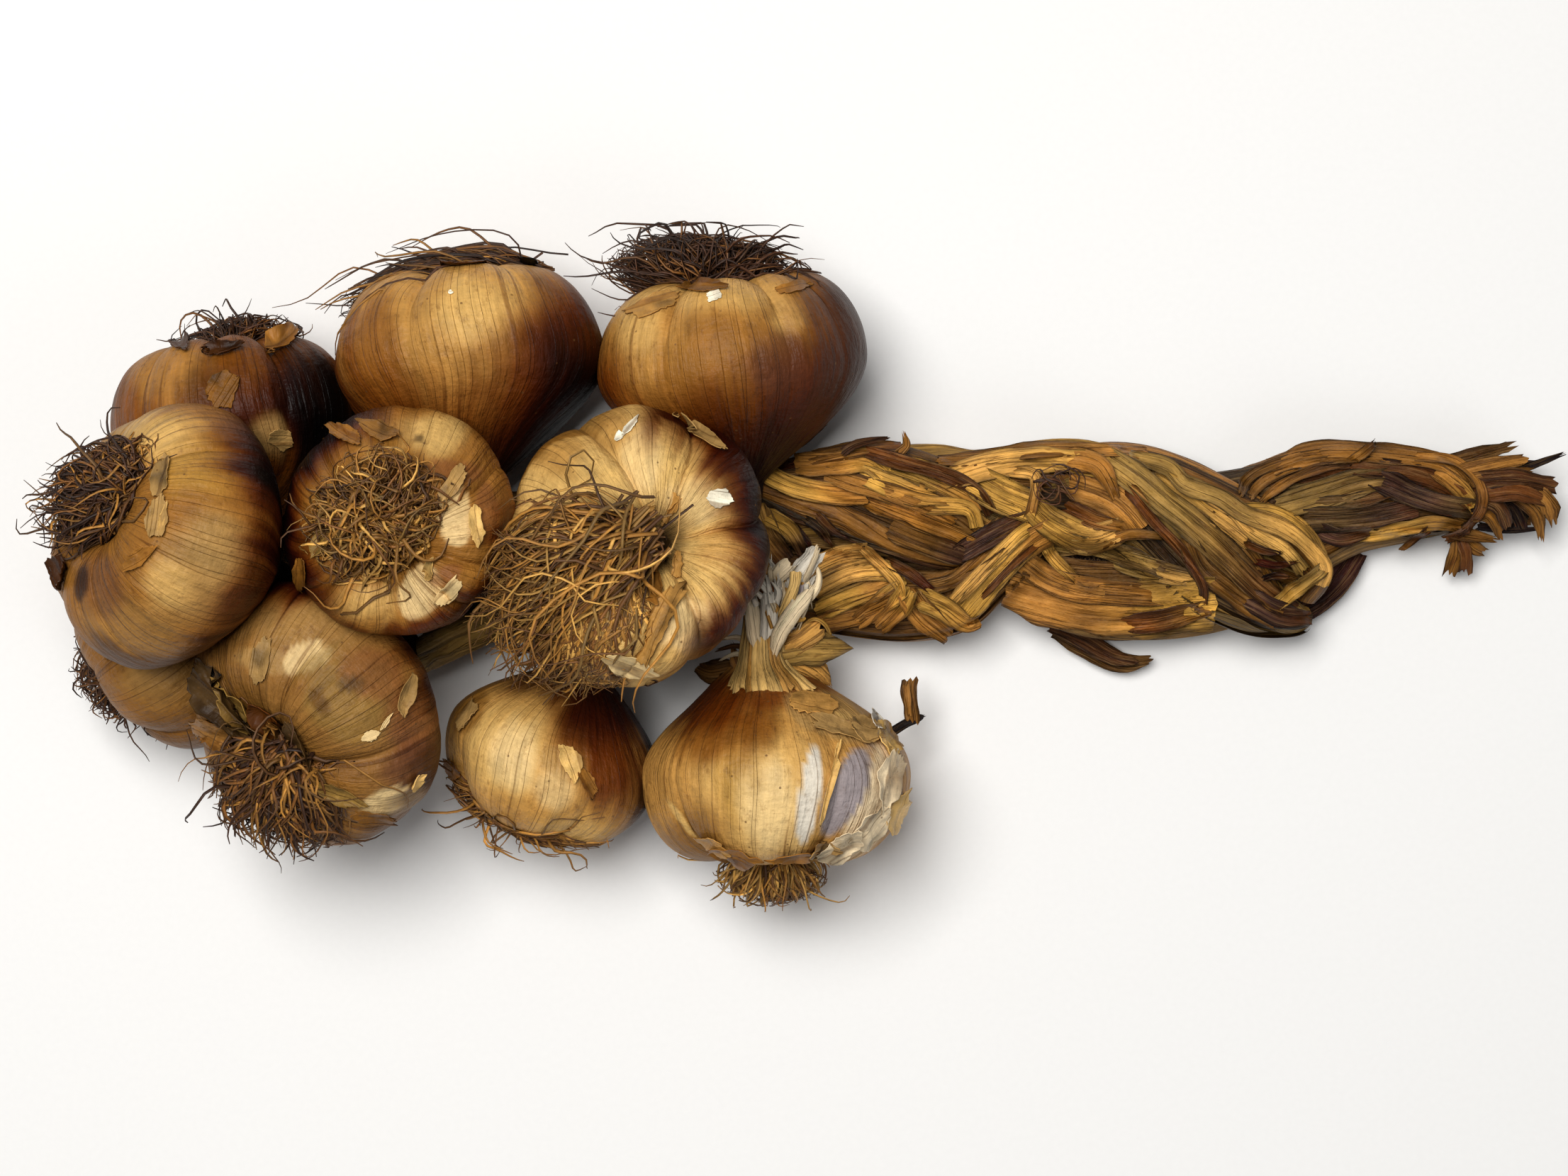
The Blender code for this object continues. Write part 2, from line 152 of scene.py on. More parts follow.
# A patch of one tone on a bulb: its middle from the bulb's own middle, seen from above, its
# reach along and across, how strongly it covers what lies under it, how crisp its edge is, and
# the bearing of its length.
Patch = namedtuple("Patch", "tone x y along across strength crisp turn", defaults=(0, 0))
# A tone on the side of a bulb that faces a bearing, in degrees from +X: how far it spreads
# round the bulb, and how deep it comes in from the outline seen from above, in radii. It is
# partly the skin's smoked colour and partly painted shade where the skin turns away.
Side = namedtuple("Side", "tone bearing spread depth strength", defaults=(1,))
SKINS = {
    "bulb_01": (CARAMEL, (
        Patch(HONEY, -13, 12, 11, 10, 0.6),
        Patch(UMBER, -3, 3, 7, 10, 0.6),
        Patch(MAUVE, 3, -2, 7, 9, 0.8),
        # Its russet, mahogany and near-black patches towards the right outline are partly smoked
        # skin and partly painted shade.
        Patch(RUSSET, 13, 2, 11, 14, 0.8),
        Patch(MAHOGANY, 21, 4, 9, 16, 0.9),
        Patch(SMOKE, 28, -8, 12, 24, 1),
        Patch(SAND, 12, -4, 4, 6, 0.8, 0.3),
        Side(UMBER, 160, 70, 0.2, 0.7),
    )),
    "bulb_02": (TAN, (
        Patch(PALE, -2, 23, 13, 7, 0.8),
        Patch(GOLD, 11, 15, 11, 7, 0.7),
        Patch(SAND, 15, -3, 7, 9, 0.8),
        Patch(SAND, 8, -11, 10, 10, 0.6),
        Patch(PALE, 4, -11, 6, 6, 0.5),
        Patch(OCHRE, -7, -9, 6, 8, 0.5),
        Patch(SAND, -6, -21, 13, 8, 0.4),
        Side(AMBER, 356, 84, 0.46),
        Side(RUSSET, 354, 78, 0.34),
        Side(MAHOGANY, 352, 78, 0.24),
        Side(SMOKE, 0, 60, 0.13),
        Patch(MAUVE, -12, -11, 6, 8, 0.5),
        Patch(MAROON, -18, -10.6, 5, 2.4, 0.7, 0.5, 85),
        Side(UMBER, 275, 60, 0.16, 0.7),
    )),
    "bulb_03": (TAN, (
        Patch(OCHRE, 0, 0, 24, 24, 0.25),
        Patch(SAND, 2, -6, 12, 12, 0.6),
        Patch(OCHRE, 4, -22, 14, 7, 0.7),
        Patch(MAUVE, 10, 0, 8, 5, 0.35),
        Side(AMBER, 205, 70, 0.25, 0.9),
        Side(UMBER, 285, 60, 0.2, 0.7),
    )),
    "bulb_04": (FAWN, (
        Patch(SAND, 0, 20, 16, 8, 0.5),
        Patch(SAND, -9, 12, 3.5, 9, 0.7, 0.7, 80),
        Patch(GREY_TAN, 11, 4, 13, 11, 0.7, 0.7, 330),
        Patch(IVORY, 0.5, 13, 7, 4, 0.8, 0.95, 20),
        Patch(GREY_TAN, 3, 12, 8, 2, 0.6, 0.6, 40),
        Patch(ROSE, 16, 9, 9, 6, 0.6, 0.5, 330),
        Patch(GREY_BROWN, 11, 7, 3.4, 2.2, 0.7, 0.4),
        Patch(UMBER, 4, 3, 4, 2, 0.5, 0.4, 300),
        Patch(ROSE, 25, -4, 10, 7, 0.7, 0.3, 80),
        Patch(MAUVE, 24, -12, 8, 8, 0.7),
        Patch(OCHRE, 3, -14, 13, 6, 0.6),
        Patch(IVORY, 19.5, -21, 8, 3.6, 0.95, 0.9, 12),
        Patch(OLIVE, -18, 2, 8, 8, 0.6),
        Side(AMBER, 75, 100, 0.3, 0.9),
        Side(RUSSET, 60, 95, 0.2),
        Side(MAHOGANY, 45, 70, 0.12),
        Side(UMBER, 330, 60, 0.2, 0.7),
    )),
    "bulb_05": (HONEY, (
        Patch(PALE, 4, 11, 12, 9, 0.7),
        Patch(CARAMEL, -22, 2, 9, 14, 0.6),
        Side(CARAMEL, 285, 140, 1.15, 0.9),
        Side(AMBER, 285, 110, 1.02, 0.85),
        Side(AMBER, 345, 64, 1, 0.85),
        Side(RUSSET, 335, 68, 0.9, 0.9),
        Side(MAHOGANY, 330, 62, 0.6),
        Side(SMOKE, 325, 55, 0.44),
        Side(AMBER, 200, 60, 0.42, 0.8),
        Side(AMBER, 25, 34, 0.42, 0.8),
    )),
    "bulb_06": (TAN, (
        Patch(HONEY, -20, 8, 12, 14, 0.9),
        Patch(HONEY, 0, 16, 22, 8, 0.8),
        Patch(PALE, -22, 10, 7, 9, 0.6),
        Patch(PALE, -2, 15, 14, 5, 0.5),
        Patch(PALE, 14, 9, 5, 5, 0.7),
        Side(CARAMEL, 290, 100, 1.2, 0.9),
        Side(AMBER, 290, 90, 1.15, 0.9),
        Side(RUSSET, 300, 88, 1, 0.9),
        Patch(MAUVE, 12, -1, 10, 8, 0.6),
        Side(MAHOGANY, 310, 75, 0.62, 0.9),
        Side(AMBER, 0, 60, 0.66, 0.8),
        # The plum on its right is partly smoked skin and partly a painted purple sheen.
        Side(PLUM, 5, 50, 0.46, 0.8),
        Side(AMBER, 215, 50, 0.44, 0.9),
    )),
    "bulb_07": (TAN, (
        Patch(PALE, 9, 20, 9, 6, 0.9),
        Patch(HONEY, -4, 20, 9, 7, 0.6),
        Patch(OCHRE, -2, 18, 4, 3, 0.6, 0.6),
        Patch(GREY_BROWN, 6, 18.4, 1.6, 1, 0.7, 0.7),
        Patch(ROSE, 14, 11, 6.5, 3, 0.6, 0.6, 350),
        Patch(IVORY, 15, 0, 8.5, 4.6, 0.85, 0.9, 98),
        Patch(ROSE, 22, 1, 8, 3, 0.6, 0.6, 95),
        Patch(IVORY, 7, -17, 7.5, 5.4, 0.85, 0.9, 70),
        Patch(PALE, -6, -19, 9, 5, 0.7),
        Patch(ROSE, 13, -13, 5, 2.4, 0.6, 0.6, 30),
        Patch(OCHRE, -16, -8, 6, 9, 0.6),
        Side(AMBER, 165, 95, 0.4, 0.9),
        Side(RUSSET, 170, 85, 0.28),
        Side(MAHOGANY, 160, 75, 0.17),
        Side(AMBER, 325, 60, 0.22, 0.9),
        Side(RUSSET, 315, 55, 0.14, 0.9),
        Side(AMBER, 270, 60, 0.14, 0.8),
    )),
    "bulb_08": (PALE, (
        Patch(HONEY, -18, 22, 10, 7, 0.8),
        Patch(IVORY, 3, 20, 6, 9, 0.6, 0.3),
        Patch(IVORY, 14, 10, 8, 6, 0.5, 0.3),
        Patch(TAN, -5, 27, 5, 7, 0.5),
        Patch(HONEY, 8, 4, 6, 6, 0.5),
        Patch(HONEY, 21, -1, 6, 5, 0.7),
        Patch(IVORY, 13, -18, 8, 7, 0.8, 0.5),
        Patch(PALE, 6, -12, 6, 5, 0.7),
        Patch(OLIVE, 0, -4, 6, 6, 0.5),
        Side(AMBER, 5, 88, 0.42, 0.9),
        Side(AMBER, 62, 30, 0.42, 0.8),
        Side(RUSSET, 60, 30, 0.26),
        Side(RUSSET, 350, 66, 0.28),
        Side(MAHOGANY, 352, 60, 0.13),
        Side(AMBER, 300, 45, 0.1, 0.9),
        Side(OCHRE, 140, 50, 0.2, 0.8),
    )),
    "bulb_09": (HONEY, (
        Patch(PALE, -10, 2, 12, 11, 0.9),
        Patch(IVORY, -8, 1, 6, 8, 0.7),
        Patch(IVORY, 2, -7, 6, 6, 0.6, 0.3),
        Patch(OCHRE, -20, 12, 8, 5, 0.7, 0.6, 60),
        Patch(UMBER, 2, 20, 18, 6, 0.9),
        Patch(AMBER, 8, 8, 9, 9, 0.8),
        Patch(RUSSET, 14, 12, 12, 12, 0.9),
        Patch(AMBER, 14, -2, 7, 10, 0.9),
        Patch(SAND, 4, -1, 4, 7, 0.6, 0.6, 60),
        Patch(PALE, 5, -18, 10, 5, 0.6),
        Side(RUSSET, 30, 80, 0.5, 0.9),
        Side(MAHOGANY, 20, 90, 0.26),
        Side(OCHRE, 215, 60, 0.3, 0.7),
    )),
    "bulb_10": (HONEY, (
        Patch(PALE, -4, -3, 16, 16, 0.85),
        Patch(GOLD, -11, 0, 4, 12, 0.6),
        Patch(IVORY, -1, -6, 7, 11, 0.75),
        Patch(IVORY, -8, -3, 2.5, 8, 0.5),
        Patch(OCHRE, -5, 14, 7, 6, 0.7),
        Patch(CARAMEL, -14, 13, 13, 9, 0.8),
        Patch(AMBER, -17, 19, 12, 7, 0.9),
        Patch(AMBER, 4, 24, 14, 4, 0.7),
        Patch(AMBER, -2, 21, 16, 4, 0.8),
        Patch(OCHRE, -19, -14, 8, 10, 0.7),
        Patch(PALE, -3, 30, 7, 7, 0.9),
        Patch(IVORY, -4, 37, 7, 7, 0.8),
        Patch(SAND, 13, 15.5, 14, 5.6, 0.9, 0.8, 338),
        Patch(PALE, 17, 14, 8, 2, 0.6, 0.6, 338),
        Patch(PITH, 23, -4, 17, 6, 0.95, 0.7, 72),
        Patch(PITH, 20, -10, 8, 3.4, 0.8, 0.7, 50),
        Patch(LAVENDER, 16.4, -1.4, 13.5, 5.2, 1, 0.9, 66),
        Patch(PEARL, 7.4, -2.8, 13, 2.8, 1, 0.9, 82),
        Patch(PALE, -23, -9, 7, 0.9, 0.9, 0.8, 306),
        Side(RUSSET, 175, 45, 0.14),
        Side(AMBER, 215, 40, 0.14, 0.9),
        Side(MAHOGANY, 150, 40, 0.14),
    )),
}

# A loose scale or torn layer of skin: its middle and half lengths seen from above, the bearing
# of its long axis, how far its edge lifts off the bulb, and how crumpled it is.
Flake = namedtuple("Flake", "tone x y long wide turn lift crumple", defaults=(0.12,))
FLAKES = {
    "bulb_01": (
        Flake(TAN, -121, 58, 4, 2.5, 40, 3, 0.5),
        Flake(UMBER, -144, 58, 4, 2, 150, 3, 0.4),
        Flake(UMBER, -133, 56, 5, 1.5, 10, 2, 0.4),
        Flake(OCHRE, -132, 47, 5, 4, 60, 0.5, 0.4),
        Flake(SAND, -119.5, 35.5, 2.6, 2.6, 0, 0.2, 0.1),
    ),
    "bulb_02": (
        Flake(SAND, -141, 25.5, 5, 2.2, 85, 0.8, 0.5),
        Flake(SAND, -141, 15.5, 6, 2.6, 85, 0.6, 0.5),
        Flake(PALE, -139.8, 15, 4, 0.7, 80, 0.8, 0.4),
        Flake(TAN, -145, 6.6, 5, 1.8, 30, 0.6, 0.5),
        Flake(UMBER, -167.5, 4, 4.4, 3.4, 120, 2, 0.5),
        Flake(TAN, -150, 31, 4, 1.8, 150, 1.6, 0.6),
    ),
    "bulb_03": (Flake(OCHRE, -160, -14, 4, 2, 70, 1),),
    "bulb_04": (
        Flake(SAND, -121, -17, 6, 2.2, 80, 0.8, 0.8),
        Flake(SAND, -88, -25, 6, 1.6, 76, 1, 0.7),
        Flake(IVORY, -95.5, -34, 2.4, 1.2, 25, 0.6, 0.3),
        Flake(IVORY, -92.4, -31, 2.8, 0.5, 55, 0.8, 0.2),
        Flake(PALE, -86.5, -45.5, 2.6, 0.8, 60, 1, 0.3),
        Flake(GREY_BROWN, -132, -26, 11, 5.4, 318, 5, 1),
        Flake(GREY_TAN, -126, -29, 10, 3.4, 316, 6, 1),
        Flake(FAWN, -133, -34, 8, 4, 332, 6, 1),
        Flake(GREY_BROWN, -124, -34.5, 7, 3, 320, 6.5, 1),
        Flake(SIENNA, -121, -28.5, 4.4, 1.4, 318, 5, 0.6),
        Flake(FAWN, -117.6, -32.5, 5.4, 2, 300, 4, 0.9),
        Flake(GREY_BROWN, -112, -36, 6.4, 2.2, 290, 3, 0.8),
        Flake(GREY_TAN, -103, -48, 7, 2, 340, 1.6, 0.7),
        Flake(OCHRE, -97, -53, 5, 1.6, 350, 1.6, 0.7),
    ),
    "bulb_05": (
        Flake(SMOKE, -64, 79, 5, 1.6, 350, 2),
        Flake(UMBER, -76, 77, 6, 1.4, 185, 2),
        Flake(WHITE, -78, 69, 0.7, 0.5, 0, 0.3),
    ),
    "bulb_06": (
        Flake(WHITE, -16.5, 68.5, 2.2, 1.4, 20, 0.3),
        Flake(HONEY, -31, 67, 7, 2.6, 15, 0.8),
        Flake(OCHRE, -20, 71, 6, 2, 350, 1.5),
        Flake(TAN, 2, 71, 5, 1.4, 20, 1),
    ),
    "bulb_07": (
        Flake(SAND, -76, 24, 5, 2.2, 60, 0.5, 0.6),
        Flake(PALE, -70.5, 14, 5, 1.6, 98, 0.6, 0.6),
        Flake(IVORY, -77, -1, 5, 2, 40, 0.7, 0.8),
        Flake(PALE, -81, 3.5, 3, 1.4, 70, 1, 0.5),
        Flake(GREY_TAN, -106, 10, 3.2, 2, 60, 1.5, 0.8),
        Flake(OCHRE, -111, 4, 4.4, 1.8, 80, 1.2, 0.5),
        Flake(TAN, -101, 35, 5, 2.4, 150, 1.4, 0.6),
        Flake(FAWN, -94, 36, 5, 2.4, 160, 0.8, 0.8),
    ),
    "bulb_08": (
        Flake(WHITE, -14.9, 20.8, 3.8, 2.7, 350, 0.4, 0.1),
        Flake(WHITE, -38.3, 35.3, 1.3, 1, 60, 0.3, 0.1),
        Flake(WHITE, -36, 37.5, 3, 0.9, 50, 0.3, 0.1),
        Flake(SAND, -20, 36, 8.5, 1.7, 322, 2, 0.3),
        Flake(HONEY, -28, -8, 9, 2.8, 66, 1.4, 0.8),
        Flake(TAN, -30, 0, 5, 2, 100, 1.6, 0.8),
        Flake(HONEY, -24, 5, 3.4, 1.4, 100, 1.4, 0.6),
        Flake(IVORY, -35, -17.5, 6.5, 2.6, 340, 0.5, 0.3),
        Flake(GREY_BROWN, -29, 9.5, 4.4, 3.2, 90, 1, 0.6),
        Flake(HONEY, -26, 18, 4, 1.4, 60, 1.6, 0.6),
        Flake(HONEY, -33, 17, 4, 2, 20, 1, 0.5),
    ),
    "bulb_09": (
        Flake(SAND, -76, -31, 4, 2, 60, 1, 0.5),
        Flake(PALE, -51, -41, 5, 2.2, 110, 0.6, 0.9),
        Flake(TAN, -47, -46, 5, 1.6, 120, 0.7, 0.8),
        Flake(IVORY, -48.6, -42.5, 2, 0.35, 105, 0.5, 0.3),
        Flake(OCHRE, -80, -44, 3, 2, 130, 1, 0.6),
    ),
    "bulb_10": (
        Flake(PITH, 24.6, -45, 9, 3.2, 80, 1, 0.7),
        Flake(PALE, 26.6, -53, 6, 2.6, 70, 1.2, 0.8),
        Flake(PITH, 20.5, -56, 7.5, 4, 55, 1, 0.9),
        Flake(PITH, 14, -60.5, 6, 3, 25, 1.2, 0.9),
        Flake(SAND, 9, -61.5, 4.5, 2.4, 10, 1.6, 0.8),
        Flake(PALE, 24, -36.5, 5, 2.6, 120, 1.2, 0.7),
        Flake(PALE, 10.6, -45, 11, 0.8, 74, 1.2, 0.5),
        Flake(SAND, 13, -33.6, 9, 2.6, 340, 0.8, 0.8),
        Flake(HONEY, 7, -27.5, 7, 3, 350, 0.6, 0.5),
        Flake(SAND, 19, -34, 5, 3, 330, 1.2, 0.7),
        Flake(PEARL, 22.5, -31.5, 3.4, 2.4, 60, 2, 0.5),
        Flake(TAN, -12, -63, 7, 2.6, 165, 1.4, 0.7),
        Flake(HONEY, -17, -60.5, 5, 2, 150, 1.2, 0.6),
        Flake(TAN, 3, -63, 7, 1.6, 5, 1.2, 0.6),
    ),
}

# The stations of each bundle along its way: place, half width, half thickness and, where it is
# rolled, its roll in degrees.
STRANDS = {
    "top_stalk": (
        (-10, 28, 24, 4.2, 2.4), (3, 21.5, 26.5, 4.5, 2.4), (19, 15.5, 27.3, 4.5, 2.4),
        (35, 9.5, 25.5, 3.4, 2.1), (46, 7, 21, 2, 1.4),
    ),
    "strand_1": (
        (-8, 20, 19, 9, 5.5), (8, 21.5, 19.5, 12, 6), (24, 21.5, 19, 13.5, 6, -4),
        (39, 18, 17.5, 12, 6, -8), (49, 13, 13, 9.5, 5.5, -8), (62, 4, 8.3, 10.5, 6.5, 5),
        (78, 0.5, 8.5, 13, 8.5, 6), (95, 0, 8.5, 12.5, 8.5), (111, 1.5, 7.3, 10.5, 6),
        (126, 9, 7, 8.5, 5.5), (142, 15, 7, 5.5, 5), (158, 17, 7.8, 4.5, 4.2),
        (171, 19, 9.5, 4.5, 4),
    ),
    "strand_3": (
        (-8, 22, 8, 8, 5.5), (16, 24.5, 8, 9, 5.5), (36, 27, 11, 8, 6, 6),
        (47, 25.5, 16, 8, 6, 6), (60, 24, 18.8, 11, 6), (75, 23.5, 20, 11.3, 6),
        (88, 17.5, 20.5, 9.4, 6), (103, 4.5, 20, 8.8, 6), (116, -3.5, 17, 7.2, 5.3),
        (126, -7.2, 12.5, 4.2, 3.8), (130.5, -7.5, 11, 2.2, 2.4),
    ),
    "strand_2": (
        (-8, 3, 11, 9.5, 7), (10, 1, 11.3, 11, 7.8), (29, -1, 12, 11.5, 8.5),
        (41, -1, 15, 9.5, 7, 8), (49, 4.5, 18.2, 8, 5.5, 10), (57, 12.5, 18, 8, 5),
        (65, 21, 11.5, 7.5, 4.8, -6), (75, 27, 7.5, 8, 5.5), (87, 27.3, 10, 8.2, 6.5, -5),
        (99, 22.8, 15, 8.5, 6.2, -8), (113, 15, 18, 8.5, 5.6), (124, 9.5, 17.5, 7, 5),
        (130.5, 4, 15, 4.4, 4.2), (128.5, -1.5, 12.5, 3, 3),
    ),
    "tail_top": (
        (104, 23, 6.5, 5, 4.4), (118, 25, 8.5, 5.5, 4.6), (130, 29, 12.8, 5.6, 5),
        (144, 29.7, 14.3, 5.6, 5), (158, 28, 14, 5.4, 4.8), (169, 22.8, 13, 5, 4.2),
        (173, 19, 12.5, 3.6, 3.4),
    ),
    "tail_middle": (
        (116, 19, 13, 4.5, 3.6), (130, 21, 14.2, 6.4, 4.4, -6), (147, 21, 15, 7, 4.6),
        (161, 19.2, 14, 5.6, 4.2), (170, 18, 13.5, 4, 3.4),
    ),
    "stalk_core": (
        (-128, 12, 15, 6, 6), (-112, 11, 16, 11, 8), (-90, 9, 17, 14, 9.5), (-62, 9, 18, 15, 11),
        (-36, 12, 18, 15, 11.5), (-20, 14, 17, 14, 11), (-6, 14, 15, 11, 8),
    ),
    "side_stalk": (
        (-91, -17, 17, 4.5, 3.6), (-79, -11, 24, 5, 3.6), (-62, -3, 28.5, 5, 3.6),
    ),
}

# How each bundle is made up: how many leaves lie round it, their half width, how far one lies
# over the next, and their tones.
Bundle = namedtuple("Bundle", "leaves half_width overlap tones")
BUNDLES = {
    "top_stalk": Bundle(14, 1.7, 0.4, (OLIVE, OCHRE, OLIVE, GREY_BROWN, UMBER, OCHRE)),
    "strand_1": Bundle(17, 3.4, 1.1, (GOLD, TAN, OCHRE, STRAW, AMBER)),
    "strand_3": Bundle(15, 3, 1.1, (GREY_TAN, OCHRE, TAN, GOLD, OLIVE)),
    "strand_2": Bundle(15, 3.2, 1.1, (TAN, GOLD, OCHRE, GREY_TAN, STRAW)),
    "tail_top": Bundle(12, 2.2, 0.8, (OCHRE, SIENNA, TAN, GREY_BROWN, OLIVE)),
    "tail_middle": Bundle(12, 2.2, 0.8, (GREY_TAN, OLIVE, GREY_BROWN, OCHRE)),
    "stalk_core": Bundle(16, 4, 0.8, (UMBER, OLIVE, GREY_BROWN, OCHRE)),
    "side_stalk": Bundle(7, 2.4, 0.6, (GREY_TAN, OLIVE, TAN)),
}

